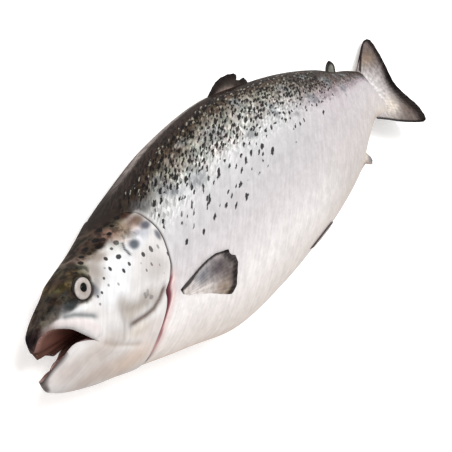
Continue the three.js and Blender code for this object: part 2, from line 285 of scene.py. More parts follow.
def linear(colour):
    # from screen values of 0 to 255 to light, as a colour socket wants them
    c = np.asarray(colour, float) / 255
    return np.where(c <= 0.04045, c / 12.92, ((c + 0.055) / 1.055) ** 2.4)


def wash(colour, tone, share):
    # the colour moved towards a screen colour, by its own share at each point
    return mix(colour, linear(tone), share[..., None])


def opaque(colour):
    # colours with a fourth value of 1, as a colour attribute wants them
    return np.concatenate([colour, np.ones_like(colour[..., :1])], -1)


def makePiece(name, points, faces, material, slot, **attributes):
    # a piece in the frame from points in the fish's axes; an attribute gives each point one number, a vector
    # or a colour
    mesh = bpy.data.meshes.new(name)
    mesh.from_pydata(toFrame(points.reshape(-1, 3)).tolist(), [], faces)
    mesh.shade_smooth()
    for key, values in attributes.items():
        values = np.asarray(values, np.float32).reshape(len(mesh.vertices), -1)
        kind, field = {1: ("FLOAT", "value"), 3: ("FLOAT_VECTOR", "vector"),
                       4: ("FLOAT_COLOR", "color")}[values.shape[1]]
        mesh.attributes.new(key, kind, "POINT").data.foreach_set(field, values.ravel())
    mesh.materials.append(material)
    piece = bpy.data.objects.new(name, mesh)
    bpy.context.scene.collection.objects.link(piece)
    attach(piece, "root")
    return piece


# Node helpers: a value in inputs is a number or another node's output
def put(tree, kind, inputs=None, **settings):
    new = tree.nodes.new(kind)
    for key, value in settings.items():
        setattr(new, key, value)
    for key, value in (inputs or {}).items():
        if isinstance(value, bpy.types.NodeSocket):
            tree.links.new(value, new.inputs[key])
        else:
            new.inputs[key].default_value = value
    return new


def calc(tree, operation, *values):
    return put(tree, "ShaderNodeMath", dict(enumerate(values)), operation=operation).outputs[0]


def calcVector(tree, operation, *values):
    return put(tree, "ShaderNodeVectorMath", dict(enumerate(values)), operation=operation).outputs[0]


def scaleColour(tree, colour, factor):
    return put(tree, "ShaderNodeVectorMath", {0: colour, "Scale": factor}, operation="SCALE").outputs[0]


def split(tree, vector):
    return put(tree, "ShaderNodeSeparateXYZ", {0: vector}).outputs


def ease(tree, value, start, end, low=0.0, high=1.0):
    return put(tree, "ShaderNodeMapRange", {"Value": value, "From Min": start, "From Max": end,
                                            "To Min": low, "To Max": high},
               interpolation_type="SMOOTHSTEP").outputs[0]


def blendColours(tree, share, first, second):
    return put(tree, "ShaderNodeMix", {0: share, 6: first, 7: second}, data_type="RGBA").outputs[2]


def read(tree, name, output="Fac"):
    return put(tree, "ShaderNodeAttribute", attribute_name=name).outputs[output]


def addNoise(tree, vector, scale, detail):
    return put(tree, "ShaderNodeTexNoise", {"Vector": vector, "Scale": scale, "Detail": detail}).outputs


def addCells(tree, vector, uneven):
    # flat Voronoi cells of size 1
    return put(tree, "ShaderNodeTexVoronoi", {"Vector": vector, "Scale": 1.0, "Randomness": uneven},
               voronoi_dimensions="2D").outputs


def addBump(tree, height, look):
    return put(tree, "ShaderNodeBump", {"Height": height, "Strength": look["bump"],
                                        "Distance": look["bumpDepth"]}).outputs[0]


def makeGroup(name, fill, inputs, outputs):
    # fill puts the nodes between the group's inputs and its outputs
    group = bpy.data.node_groups.new(name, "ShaderNodeTree")
    for way, sockets in {"INPUT": inputs, "OUTPUT": outputs}.items():
        for key, kind in sockets.items():
            group.interface.new_socket(name=key, in_out=way, socket_type="NodeSocket" + kind)
    fill(group, group.nodes.new("NodeGroupInput").outputs, group.nodes.new("NodeGroupOutput").inputs)
    return group


def useGroup(tree, group, **inputs):
    return put(tree, "ShaderNodeGroup", {key.capitalize(): value for key, value in inputs.items()},
               node_tree=group).outputs


def startMaterial(name, **constants):
    material = bpy.data.materials.new(name)
    material.use_nodes = True
    tree = material.node_tree
    tree.nodes.clear()
    constants = {key.replace("_", " "): value for key, value in constants.items()}
    shader = put(tree, "ShaderNodeBsdfPrincipled", constants)
    put(tree, "ShaderNodeOutputMaterial", {0: shader.outputs[0]})
    return material, tree, shader.inputs


grainForm = {"finer": 7.3, "fineShare": 0.35, "toneFrom": 0.3, "toneTo": 0.7}


def addGrain(group, made, result):
    # fine uneven tone and relief of wet skin, from two noises on the object's own coordinates
    place = put(group, "ShaderNodeTexCoord").outputs["Object"]
    finer = calc(group, "MULTIPLY", made["Scale"], grainForm["finer"])
    coarse = addNoise(group, place, made["Scale"], 4.0)["Fac"]
    fine = addNoise(group, place, finer, 2.0)["Fac"]
    group.links.new(ease(group, coarse, grainForm["toneFrom"], grainForm["toneTo"]), result["Tone"])
    group.links.new(calc(group, "MULTIPLY_ADD", fine, grainForm["fineShare"], coarse), result["Relief"])


scaleForm = {"tilt": 0.8, "dome": 0.6}


def addScales(group, made, result):
    # a lattice of diamonds, each a scale that rises towards the tail: Voronoi cells turned by 45 degrees
    flow = split(group, made["Flow"])
    along = calc(group, "DIVIDE", flow[0], made["Length"])
    down = calc(group, "DIVIDE", flow[1], made["Height"])
    turned = put(group, "ShaderNodeCombineXYZ", {0: calc(group, "ADD", along, down),
                                                 1: calc(group, "SUBTRACT", along, down)}).outputs[0]
    cells = addCells(group, turned, made["Uneven"])
    centre = split(group, cells["Position"])
    centreAlong = calc(group, "MULTIPLY", calc(group, "ADD", centre[0], centre[1]), 0.5)
    rise = calc(group, "SUBTRACT", along, centreAlong)
    dome = calc(group, "SUBTRACT", scaleForm["dome"], cells["Distance"])
    group.links.new(calc(group, "MULTIPLY_ADD", rise, scaleForm["tilt"], dome), result["Relief"])
    group.links.new(split(group, cells["Color"])[0], result["Tone"])


spotForm = {"bendScale": 2.2, "uneven": 0.9, "leastSize": 0.55, "moreSize": 0.7, "softRim": 0.12,
            "softChoice": 0.03}


def addSpots(group, made, result):
    # uneven dots: a Voronoi cell whose random number is under the density holds one, at its centre
    flow = calcVector(group, "DIVIDE", made["Flow"], made["Cell"])
    noise = addNoise(group, flow, spotForm["bendScale"], 2.0)["Color"]
    shift = calcVector(group, "SUBTRACT", noise, (0.5, 0.5, 0.5))
    bent = calcVector(group, "MULTIPLY_ADD", shift, made["Wobble"], flow)
    cells = addCells(group, bent, spotForm["uneven"])
    lots = split(group, cells["Color"])
    share = calc(group, "MULTIPLY_ADD", lots[1], spotForm["moreSize"], spotForm["leastSize"])
    inside = calc(group, "SUBTRACT", calc(group, "MULTIPLY", made["Size"], share), cells["Distance"])
    dot = ease(group, inside, 0.0, spotForm["softRim"])
    chosen = ease(group, calc(group, "SUBTRACT", made["Density"], lots[0]), 0.0, spotForm["softChoice"])
    group.links.new(calc(group, "MULTIPLY", dot, chosen), result["Mask"])


def wetMaterial(name, look, **constants):
    # the paint and a roughness, both moved a little by the wet grain, with the grain's relief as a bump
    material, tree, shader = startMaterial(name, **constants)
    grain = useGroup(tree, grainGroup, scale=look["grainScale"])
    tone = ease(tree, grain["Tone"], 0.0, 1.0, *look["grainTones"])
    tree.links.new(scaleColour(tree, read(tree, "paint", "Color"), tone), shader["Base Color"])
    tree.links.new(ease(tree, grain["Tone"], 0.0, 1.0, *look["roughness"]), shader["Roughness"])
    tree.links.new(addBump(tree, grain["Relief"], look), shader["Normal"])
    return material


grainGroup = makeGroup("wetGrain", addGrain, {"Scale": "Float"}, {"Tone": "Float", "Relief": "Float"})
scaleGroup = makeGroup("fishScales", addScales,
                       {"Flow": "Vector", "Length": "Float", "Height": "Float", "Uneven": "Float"},
                       {"Relief": "Float", "Tone": "Float"})
spotGroup = makeGroup("darkSpots", addSpots,
                      {"Flow": "Vector", "Cell": "Vector", "Wobble": "Vector", "Size": "Float",
                       "Density": "Float"},
                      {"Mask": "Float"})
print("node groups made")


# Colours are screen values from 0 to 255; brightness scales them to the light that the skin gives back
skinLook = {
    "brightness": 0.68,
    # the trunk by height: 1 at the ridge of the back, -1 at the keel of the belly; the warmer, darker stop
    # at -1 is painted shade under the belly
    "trunkColours": [[-1.0, (226, 206, 192)], [-0.92, (244, 233, 226)], [-0.5, (252, 247, 246)],
                     [-0.1, (224, 218, 220)], [0.2, (214, 211, 214)], [0.46, (218, 217, 218)],
                     [0.58, (208, 208, 208)], [0.7, (182, 182, 181)], [0.82, (142, 140, 134)],
                     [0.91, (78, 68, 59)], [0.97, (50, 40, 35)], [1.0, (46, 37, 33)]],
    # the same near the tail, where the back turns from olive to mauve
    "tailColours": [[-1.0, (234, 220, 208)], [-0.6, (230, 222, 219)], [0.1, (226, 219, 221)],
                    [0.42, (216, 208, 211)], [0.52, (182, 170, 176)], [0.62, (150, 138, 142)],
                    [0.7, (108, 98, 97)], [0.8, (80, 72, 69)], [0.9, (68, 60, 56)], [1.0, (76, 68, 64)]],
    "shoulderDark": (40, 33, 29), "shoulderStrength": 0.8,
    "cloudGrey": (128, 132, 137), "cloudStrength": 0.6,
    # the dark of the head lies above this line of the side view
    "headDarkEdge": [[-2, -5], [2, 5], [5, 9], [10, 12.5], [16, 14.5], [24, 16], [31, 17], [38, 17],
                     [44, 15.5], [50, 13.5], [58, 14], [64, 20], [69, 30], [76, 39], [86, 42], [98, 43],
                     [112, 46], [125, 52], [145, 58], [165, 63]],
    "headPale": (228, 225, 224), "headDark": (48, 41, 36),
    # the pale flecks are painted glints: light off single scales, painted into the colour
    "spotBlack": (24, 23, 24), "spotStrength": 0.94, "glintPale": (176, 172, 158), "glintStrength": 0.6,
    # the slit's thin dark line is painted shade under the gill cover's edge
    "gillRed": (84, 34, 46), "gillPale": (158, 104, 110), "slitShade": (58, 44, 46),
    # the dark round the eye's socket is painted shade
    "slitPink": (236, 208, 204), "socketShade": (40, 37, 38), "socketShadeStrength": 0.9,
    # the dark of the head wanders between these two tints
    "warmTint": (1.16, 0.94, 0.88, 1.0), "oliveTint": (0.92, 1.03, 0.9, 1.0), "tintScale": 85.0,
    "scaleLength": 4.4, "scaleHeight": 3.4, "scaleUneven": 0.25, "scaleRelief": 0.6,
    "grainScale": 90.0, "grainTones": (0.95, 1.04), "grainRelief": 0.25, "mottleScale": 150.0,
    "mottleTones": (0.4, 1.5), "streakStretch": (0.2, 0.03, 1.0), "streakTones": (0.94, 1.04),
    "headSpotUneven": 0.9, "headSpotRim": (1.75, 1.4),
    # the paint of the skin's two ends: near black in the throat, painted shade deep in the mouth, and grey
    # under the tail fin
    "endShades": [[0.01], [0.6]],
    # the nape is mottled like the head: [x, y, radius along, radius down]
    "nape": (119, 48, 17, 11),
    "roughness": (0.34, 0.46), "metal": (0.02, 0.12), "bump": 0.4, "bumpDepth": 0.0004,
}
# A narrow pale painted sheen just past the ridge of the back, from the nape to the back fin: a highlight
# painted into the colour
paintedSheen = {"colour": (168, 156, 151), "strength": 0.6, "nearEdge": (4, -2), "farEdge": (-13, -6),
         "height": (0.8, 0.9), "front": (140, 220), "rear": (460, 420)}
# The trunk's spots: none below the lowest line of the side view and crowded above the middle one
spotSpread = {
    "lowest": [[150, 40], [175, 8], [215, 0], [290, 12], [423, 28], [568, 25], [700, 20]],
    "middle": [[150, 66], [200, 57], [300, 60], [400, 68], [525, 50], [642, 31]],
    "faint": 0.06, "sparse": 0.3, "dense": 0.62, "tailShare": 0.12,
    "lean": 0.8, "ridgeLean": 32, "ridgeReach": 40,
}
# Spots by kind: a cell's size, how its outline wanders, the spot's share of the cell and its crowding
spotKinds = {
    "small": {"shift": (0.0, 0.0, 0.0), "cell": (6.0, 4.3, 1.0), "wobble": (1.0, 1.0, 0.0), "size": 0.43,
              "crowding": 0.82},
    "large": {"shift": (31.0, 17.0, 0.0), "cell": (11.0, 9.2, 1.0), "wobble": (0.8, 0.7, 0.0), "size": 0.29,
              "crowding": 0.95},
    # the pale flecks: painted glints of single scales
    "glint": {"shift": (13.0, 57.0, 0.0), "cell": (6.6, 4.2, 1.0), "wobble": (0.9, 0.9, 0.0), "size": 0.36,
              "crowding": 0.5},
}
# The mouth's lining: its rims, then [from, to, colour] by the way in from the lips
liningLook = {
    "rim": (150, 124, 118), "upperRim": (138, 104, 97), "rightRim": (104, 76, 66),
    "inward": [[0.03, 0.09, (110, 76, 67)], [0.12, 0.4, (96, 58, 50)], [0.4, 0.8, (92, 48, 42)]],
    # the membrane in the corner of the mouth's left side is a greyish pink
    "corner": (158, 132, 130), "cornerStrength": 0.9,
}
# Soft washes of colour on the head: [x, y, radius along, radius down, colour, strength]. A wash whose
# radius along is at most smallWash has a firmer rim.
smallWash = 6
headWashes = {
    "snoutSide": [17, 16.5, 10, 4.5, (88, 80, 75), 0.85],
    "snoutCorner": [8, 10.5, 6.5, 4, (112, 92, 89), 0.85],
    "snoutGum": [16, 10.5, 9, 2.6, (166, 140, 133), 0.85],
    "lipTip": [0, 1, 5.5, 5.5, (108, 84, 80), 0.9],
    "snoutTip": [1, 9, 9, 10.5, (22, 13, 17), 0.98],
    "browGold": [45, 33, 7, 3, (104, 92, 62), 0.6],
    "crownGold": [60, 38, 8, 3.5, (94, 82, 60), 0.5],
    "crownRed": [70, 45, 5, 3, (62, 48, 43), 0.5],
    "crownDark": [78, 44, 8, 4, (56, 48, 42), 0.7],
    "crownShade": [84, 49, 20, 7, (46, 39, 34), 0.8],
    "crownBrown": [92, 52, 8, 4, (62, 52, 46), 0.6],
    "lachrymal": [37, 18, 12, 4, (90, 90, 97), 0.9],
    # painted shadow behind and below the eye, where the eye's bulge shades the skin
    "eyeShadow": [65, 19, 4.8, 6.6, (84, 84, 92), 0.9],
    "behindEye": [76, 32.5, 10, 10.5, (160, 151, 144), 0.95],
    "behindEyeHigh": [88, 39, 8, 4.5, (142, 128, 116), 0.85],
    "behindEyeLow": [70, 23, 4, 5, (158, 153, 150), 0.7],
    "cheek": [82, 10, 17, 10, (248, 249, 252), 0.95],
    "cheekTop": [98, 25, 15, 10, (244, 246, 250), 0.85],
    "underEye": [46, 12.3, 11, 2.4, (246, 246, 248), 0.9],
    "nape": [117, 47.5, 13, 8, (126, 110, 101), 0.95],
    "napeDark": [122, 59, 16, 6, (40, 33, 30), 0.92],
    "napeSide": [125.5, 50, 7, 5.2, (128, 110, 100), 0.95],
    "coverPink": [138, 49.8, 10, 6.2, (116, 96, 86), 1.0],
    "coverSeam": [140, 57.5, 9, 1.8, (52, 40, 33), 0.9],
    "coverBlue": [133, 38.5, 10, 5.5, (168, 171, 182), 0.85],
    "coverInk": [142.5, 42.7, 5.4, 3.6, (84, 85, 98), 0.92],
    "coverInkLow": [131, 41, 3, 2.6, (140, 144, 156), 0.8],
    "coverGrey": [148, 30.5, 3, 5, (104, 107, 116), 0.92],
    "coverHalo": [123, 34.5, 11.5, 6.4, (228, 231, 236), 1.0],
    "coverSpot": [122.0, 33.9, 6.0, 4.4, (96, 102, 110), 1.0],
    "coverMiddle": [130, 9, 14, 13, (196, 189, 186), 0.75],
    "coverLow": [110, -11, 14, 7, (176, 166, 159), 0.8],
    "cheekEdge": [84, -9, 8, 13, (182, 173, 167), 0.8],
    "cheekLow": [92, -13, 10, 6, (186, 176, 164), 0.65],
    "jaw": [48, -26, 30, 10, (192, 179, 171), 0.75],
    "jawFront": [14, -27, 18, 9, (194, 182, 177), 0.85],
    "jawLow": [36, -42, 32, 8, (190, 172, 161), 0.75],
    "throat": [74, -50, 30, 10, (212, 188, 170), 0.75],
    "branchiostegals": [100, -36, 20, 9, (212, 198, 192), 0.65],
    "foldBeige": [88, -30, 12, 5, (216, 203, 185), 0.5],
    "chinFront": [-6.5, -31, 3.4, 9, (70, 56, 52), 0.9],
    "chinLip": [-4.5, -23, 3, 3.4, (52, 42, 42), 0.95],
    "lowerLipDark": [8, -17.5, 5, 1.6, (104, 80, 76), 0.7],
}
# Dark spots of the head: [x, y, radius along, radius down, strength]
headSpots = [
    [91.4, 35.6, 2.0, 2.2, 1], [102.2, 31.7, 3.2, 2.5, 1], [89.1, 27, 1.5, 2.3, 1],
    [99.4, 19.8, 1.5, 2.3, 1], [107.3, 22.4, 1.4, 2.0, 0.95], [78.9, 23.2, 1.4, 1.4, 0.9],
    [88.9, 12.6, 1.4, 2.0, 0.6], [69.5, 14.6, 1.5, 1.5, 0.95], [64.2, 13.8, 1.2, 1.8, 0.8],
    [62.9, 7.3, 1.2, 1.4, 0.6], [85.1, 29.6, 1.0, 1.2, 0.6], [79.5, 16.4, 1.2, 1.3, 0.6],
    [101.6, 40, 1.6, 1.5, 0.9], [108.8, 42.2, 2.6, 2.3, 0.85], [111.2, 50.6, 2.0, 1.6, 1],
    [118.6, 54.7, 2.0, 1.7, 1], [124.4, 22.9, 1.9, 2.4, 0.95], [134.1, 23.1, 1.8, 3.4, 0.85],
    [127.7, 11.8, 1.3, 2.2, 0.7], [120.2, 9.9, 1.2, 1.6, 0.7], [141.8, 21.8, 1.3, 2.4, 0.55],
    [118.2, 17.4, 1.0, 1.2, 0.4], [108.5, -7.7, 2.2, 2.6, 0.45], [113, -11.8, 2.2, 2.2, 0.45],
    [112.5, -5.5, 1.6, 2.2, 0.35], [135.8, -1.5, 1.0, 2.2, 0.4], [134.8, 7.5, 0.9, 1.5, 0.4],
    [148, 12, 1.3, 2.6, 0.95], [72.7, 42, 2.2, 2.0, 1], [79.4, 45, 2.0, 1.8, 1], [88.7, 48.3, 2.2, 1.8, 1],
    [100.1, 50.6, 2.8, 2.2, 1], [111.3, 55.6, 2.8, 2.2, 1], [103.5, 49, 2.2, 1.8, 0.9],
    [94.4, 45.8, 2.0, 1.6, 0.9], [85.3, 44.6, 2.0, 1.6, 0.8], [91, 50, 1.8, 1.6, 0.8],
    [47.5, 33, 2.0, 1.8, 0.7], [24, 25, 2.2, 1.8, 0.7], [60, 37.5, 2.0, 1.6, 0.8],
    [66, 40.5, 1.6, 1.4, 0.8], [128, 58, 2.6, 2.0, 0.9],
]
# Creases of the head in the side view: a path, its depth and half width, and its colour and darkness. The
# colour painted along a furrow is partly the crease's own tint and partly painted shade in the furrow
headCreases = {
    "aboveJaw": {"path": [[26, 14.5], [38.2, 11], [46, 6.5], [52, 3], [59, -3]], "depth": 0.9, "width": 2.7,
                 "colour": (122, 126, 128), "dark": 0.85},
    "cheekPlate": {"path": [[114, 41], [111.5, 34.5], [113.5, 26]], "depth": 0.5, "width": 1.6,
                   "colour": (44, 50, 60), "dark": 1.0},
    "coverFold": {"path": [[134, -8], [128, -12], [121, -17], [112, -21.6], [102, -22.8], [93, -22.6],
                           [85, -22.5], [78, -26]],
                  "depth": 1.3, "width": 2.9, "colour": (96, 74, 64), "dark": 0.92},
    "coverShade": {"path": [[110, -12], [98, -12.5], [88, -8], [82, -2]],
                   "depth": 0.2, "width": 5, "colour": (156, 146, 139), "dark": 0.5},
    "jawFold": {"path": [[50, -20], [60, -28], [76, -36], [92, -44]], "depth": 0.6, "width": 2.2,
                "colour": (178, 164, 152), "dark": 0.5},
    "lowerLipRim": {"path": [[-5, -22.5], [3, -18], [14, -15.2], [24, -12.4]], "depth": 0.2, "width": 2.1,
                    "colour": (66, 54, 54), "dark": 1.0},
    "cheekBack": {"path": [[85, -2], [80, -12], [76, -22], [68, -34]], "depth": 0.4, "width": 2.4,
                  "colour": (176, 170, 166), "dark": 0.5},
}
# Beside each furrow stands a low rim: its share of the depth, and how many widths it is away
creaseRim = {"share": 0.4, "away": 2.2}
# The upper jaw's plate, wider towards its rear end
maxilla = {"path": [[12, 12.5], [22, 11.5], [32, 7.5], [41, 2], [47.5, -4], [50, -9]],
           "thinEnd": 2.4, "thickEnd": 6.8, "rise": 1.3, "colour": (234, 224, 223), "strength": 0.8}
nostrils = {"places": [[33, 25.5, 1.3], [37, 26.5, 1.0]], "depth": 1.4}
# The right eye sits lower and deeper, as that side of the head is pressed towards the floor
eye = {"x": 55.9, "y": 25.2, "leanForward": 6, "leanDown": 5, "rightDrop": 6, "rightSink": 2.5,
       "socket": 9.5, "socketSlope": 2.5, "sink": 2.6, "rimHeight": 0.7, "rimOut": 1.2, "rimWidth": 1.3,
       "brow": 2.2, "browRise": 7, "browLength": 13, "browHeight": 6}
# Low forms of the trunk: the lateral line runs between two turns from the back, over bands and soft dents
trunkForm = {"lineTurns": (66, 82), "lineBend": (150, 380), "lineWidth": 1.2, "lineDepth": 0.35,
             "bandLength": 13, "bandHeight": 0.05, "dentLength": 120, "dentHeight": 0.5,
             # bands and dents lie between these turns and places, fading over each pair
             "top": (25, 60), "bottom": (160, 120), "front": (180, 260), "rear": (700, 560)}


def gillStrength(turn):
    return smooth(gill["fadeFrom"], gill["fadeTo"], turn)


def eyeDistance(x, y, degrees):
    # in the side view, from the centre of the eye of the same side
    return np.hypot(x - eye["x"], y - eye["y"] + eye["rightDrop"] * (degrees > 180))


def skinRelief(x, y, degrees):
    # the sum of the head's forms in the side view: gill cover, upper jaw plate, creases, socket and nostrils
    turn = turnFromBack(degrees)
    behind = x - gillEdgeAt(turn)
    relief = gillStrength(turn) * gill["coverRise"] * smooth(-gill["riseLength"], 0, behind) * (behind <= 0)
    away, share = nearPath(x, y, maxilla["path"])
    thick = mix(maxilla["thinEnd"], maxilla["thickEnd"], share)
    relief += maxilla["rise"] * np.sqrt(smooth(thick, 0.3 * thick, away)) * smooth(0.05, 0.45, share)
    for crease in headCreases.values():
        # a furrow of exp(-distance squared)
        depth, width = crease["depth"], crease["width"]
        away, share = nearPath(x, y, crease["path"])
        ends = smooth(0, 0.15, share) * smooth(1, 0.85, share)
        relief -= depth * ends * np.exp(-(away / width) ** 2)
        relief += creaseRim["share"] * depth * ends * np.exp(-(away / width - creaseRim["away"]) ** 2)
    for atX, atY, radius in nostrils["places"]:
        relief -= nostrils["depth"] * np.exp(-(np.hypot(x - atX, y - atY) / radius) ** 2)
    away = eyeDistance(x, y, degrees)
    brow = np.hypot((x - eye["x"]) / eye["browLength"], (y - eye["y"] - eye["browRise"]) / eye["browHeight"])
    relief += eye["brow"] * np.exp(-brow ** 2) * (degrees < 180)
    relief -= eye["sink"] * smooth(eye["socket"], eye["socket"] - eye["socketSlope"], away)
    relief += eye["rimHeight"] * np.exp(-((away - eye["socket"] - eye["rimOut"]) / eye["rimWidth"]) ** 2)
    return relief


def trunkRelief(x, turn):
    # a shallow lateral line, the muscle's faint bands and a few soft dents
    form = trunkForm
    lineTurn = mix(*form["lineTurns"], smooth(*form["lineBend"], x))
    line = np.exp(-((turn - lineTurn) / form["lineWidth"]) ** 2) * smooth(165, 200, x) * smooth(720, 690, x)
    bands = np.sin(2 * np.pi * (x + 0.5 * np.abs(turn - lineTurn)) / form["bandLength"])
    flank = smooth(*form["top"], turn) * smooth(*form["bottom"], turn)
    flank = flank * smooth(*form["front"], x) * smooth(*form["rear"], x)
    dents = ripple(x, turn * 1.2, form["dentLength"], 3)
    return (form["bandHeight"] * bands + form["dentHeight"] * dents) * flank - form["lineDepth"] * line


def skinGrid():
    # rows from the throat out over the lips, back over the head, round the gill cover's edge and to the tail
    around = np.linspace(0, 360, body["aroundCount"], endpoint=False)[None, :]
    turn = turnFromBack(around)
    lipX, edgeX, strength = lipPoint(around)[..., 0], gillEdgeAt(turn), gillStrength(turn)

    wayIn = np.linspace(1, 0, body["liningRows"], endpoint=False)[:, None] ** body["liningPower"]
    wayIn = body["liningReach"] * wayIn
    lining = liningPoint(wayIn, around)

    wayBack = np.linspace(0, 1, body["headRows"])[:, None] ** body["headPower"]
    headX = mix(lipX, edgeX - gill["rowsBefore"], wayBack)
    # where the cover's edge has faded, its rows are small even steps along the skin
    steps = np.array(gill["lip"])
    order = gill["rowStep"] * np.arange(1, len(steps) + 1)[:, None]
    stretch = np.where(steps[:, :1] > 0.3, gapeAt(turn) / gill["fullGape"], 1.0)
    offsets = steps[:, :1] * stretch + 0.02 * order
    edgeRows = edgeX + order * (1 - strength) + offsets * strength - 0.5 * (1 - strength)
    edgeDepth = steps[:, 1:] * strength
    wayOn = np.linspace(0, 1, body["trunkRows"])[:, None] ** body["trunkPower"]
    trunkX = mix(edgeRows[-1:] + gill["rowsAfter"], body["stalkEnd"], wayOn)

    outerX = np.concatenate([headX, edgeRows, trunkX])
    degrees = np.broadcast_to(around, outerX.shape)
    outer = skinPoint(outerX, degrees)
    turns = turnFromBack(degrees)
    normal = normalsOf(skinPoint(np.sort(outerX, axis=0), degrees))
    relief = skinRelief(outer[..., 0], outer[..., 1], degrees) + trunkRelief(outer[..., 0], turns)
    first, last = len(headX), len(headX) + len(edgeRows)
    relief[first:last] = edgeDepth
    outer = outer + normal * relief[..., None]
    return lining, outer, degrees, wayIn


def paintTrunk(x, height, sheenShare):
    # straight blends between the stops of either end; the edge of the dark wanders
    edge = smooth(0.2, 0.5, height) * smooth(0.95, 0.8, height)
    shifted = height - 0.05 * ripple(x, height * 90, 46, 5) * edge

    def between(stops):
        places = [place for place, _ in stops]
        lights = np.array([linear(colour) for _, colour in stops])
        return np.stack([np.interp(shifted, places, light) for light in lights.T], -1)

    tail = smooth(390, 540, x)[..., None]
    colour = mix(between(skinLook["trunkColours"]), between(skinLook["tailColours"]), tail)
    cloud = ripple(x, height * 95, 34, 21) * smooth(0.35, 0.6, height) * smooth(0.95, 0.85, height)
    cloud = skinLook["cloudStrength"] * smooth(0.15, 0.7, cloud)
    colour = wash(colour, skinLook["cloudGrey"], cloud)
    shoulder = skinLook["shoulderStrength"] * smooth(230, 140, x) * smooth(0.62, 0.86, height)
    colour = wash(colour, skinLook["shoulderDark"], shoulder)
    # then the painted sheen: a pale highlight painted just past the back's ridge
    return wash(colour, paintedSheen["colour"], paintedSheen["strength"] * sheenShare)


def paintHead(x, y):
    # dark above the edge line and pale below it, then each wash by exp(-distance ** 3) in its own radii, or
    # by exp(-distance ** 5) where it is small
    edge = np.interp(x, *np.array(skinLook["headDarkEdge"]).T)
    dark = smooth(-2, 3, y - edge + 1.4 * ripple(x, y, 17, 9))
    colour = mix(linear(skinLook["headPale"]), linear(skinLook["headDark"]), dark[..., None])
    for atX, atY, wide, tall, tint, strength in headWashes.values():
        away = ((x - atX) / wide) ** 2 + ((y - atY) / tall) ** 2
        firm = 1.5 if wide > smallWash else 2.5
        colour = wash(colour, tint, strength * np.exp(-away ** firm))
    return colour, dark


def paintCreases(x, y, behind, colour):
    # each crease by exp(-distance squared), a little narrower than its furrow and faded at its ends: partly
    # its own tint, partly painted shade in the furrow
    for crease in headCreases.values():
        away, share = nearPath(x, y, crease["path"])
        ends = smooth(0, 0.12, share) * smooth(1, 0.8, share) * (behind < 0)
        ink = crease["dark"] * ends * np.exp(-(away / (0.8 * crease["width"])) ** 2)
        colour = wash(colour, crease["colour"], ink)
    return colour


def paintSlit(behind, turns, colour):
    # the slit is maroon where it gapes and a thin dark line of painted shade above, under the cover's edge,
    # with pink skin behind it
    gape, strength = gapeAt(turns), gillStrength(turns)
    wide = smooth(*gill["maroonTop"], turns) * smooth(*gill["maroonBottom"], turns)
    spread = gape + gill["throatSpread"] * smooth(112, 124, turns)
    within = smooth(-0.5, 0.4, behind) * smooth(spread + 0.9, spread - 0.7, behind) * strength
    pink = smooth(gape - 0.5, gape + 0.5, behind) * smooth(gape + gill["pinkReach"], gape + 1, behind) * wide
    colour = wash(colour, skinLook["slitPink"], gill["pinkStrength"] * pink)
    # a thin line of painted shade in the slit under the cover's edge, above the maroon
    thin = gill["thinStrength"] * within * (1 - wide) * smooth(*gill["thinTop"], turns)
    colour = wash(colour, skinLook["slitShade"], thin)
    # the flesh pales from the fold outwards, and down towards the throat
    pale = np.clip(0.75 * smooth(0.35 * gape, gape, behind) + smooth(104, 130, turns), 0, 1)
    flesh = mix(linear(skinLook["gillRed"]), linear(skinLook["gillPale"]), pale[..., None])
    return mix(colour, flesh, (within * wide * mix(1, 0.75, smooth(112, 135, turns)))[..., None])


def paintPlate(x, y, colour):
    # the upper jaw's plate is pale where its relief stands
    away, share = nearPath(x, y, maxilla["path"])
    thick = mix(maxilla["thinEnd"], maxilla["thickEnd"], share)
    plate = maxilla["strength"] * smooth(thick + 0.4, 1.5, away) * smooth(0.05, 0.3, share)
    return wash(colour, maxilla["colour"], plate)


def paintLining(around, wayIn):
    # brown red under the upper jaw, pale along the lower rim, and dark towards the throat
    upper = smooth(112, 98, turnFromBack(around))[None, :, None]
    inside = mix(linear(liningLook["rim"]), linear(liningLook["upperRim"]), upper)
    inside = mix(inside, linear(liningLook["rightRim"]), smooth(182, 190, around)[None, :, None])
    for start, end, colour in liningLook["inward"]:
        inside = mix(inside, linear(colour), smooth(start, end, wayIn)[..., None])
    corner = (smooth(76, 90, around) * smooth(150, 128, around))[None, :, None]
    corner = corner * smooth(0.95, 0.5, wayIn)[..., None]
    return mix(inside, linear(liningLook["corner"]), liningLook["cornerStrength"] * corner)


farAway = 3.0    # in a head spot's radii: no ink reaches so far


def spotFieldOf(points, behind):
    # how far each place is from the nearest spot of the head, in that spot's radii, and how dark that one is
    x, y, z = points[..., 0], points[..., 1], np.abs(points[..., 2] - axisAt(points[..., 0]))
    field, ink = np.full(x.shape, farAway), np.zeros(x.shape)
    for atX, atY, wide, tall, strength in headSpots:
        centre = abs(flankHeight(np.array([atX], float), np.array([atY], float), 1)[0] - axisAt(atX))
        away = ((x - atX) / wide) ** 2 + ((y - atY) / tall) ** 2 + ((z - centre) / (1.8 * tall)) ** 2
        away = np.sqrt(away)
        ink = np.where(away < field, strength, ink)
        field = np.minimum(field, away)
    return np.where(behind < 4, field, farAway), ink


def crowdingOf(x, y, height, behind, turns, sheenShare):
    # how crowded the trunk's spots are, the sum of three shares, and where they are dense
    lowest = np.interp(x, *np.array(spotSpread["lowest"]).T)
    middle = np.interp(x, *np.array(spotSpread["middle"]).T)
    faint = smooth(-12, 0, y - lowest)
    sparse = smooth(-4, 16, y - lowest) * smooth(740, 480, x)
    dense = smooth(-7, 9, y - middle)
    crowding = spotSpread["faint"] * faint + spotSpread["sparse"] * sparse + spotSpread["dense"] * dense
    onBody = smooth(2, 8, behind + 30 * smooth(45, 20, turns))
    tailwards = mix(1, spotSpread["tailShare"], smooth(520, 620, x))
    # fewer spots under the painted sheen
    offSheen = smooth(1.0, 0.96, height) * (1 - 0.9 * sheenShare)
    return np.clip(crowding, 0, 1) * onBody * tailwards * offSheen, dense


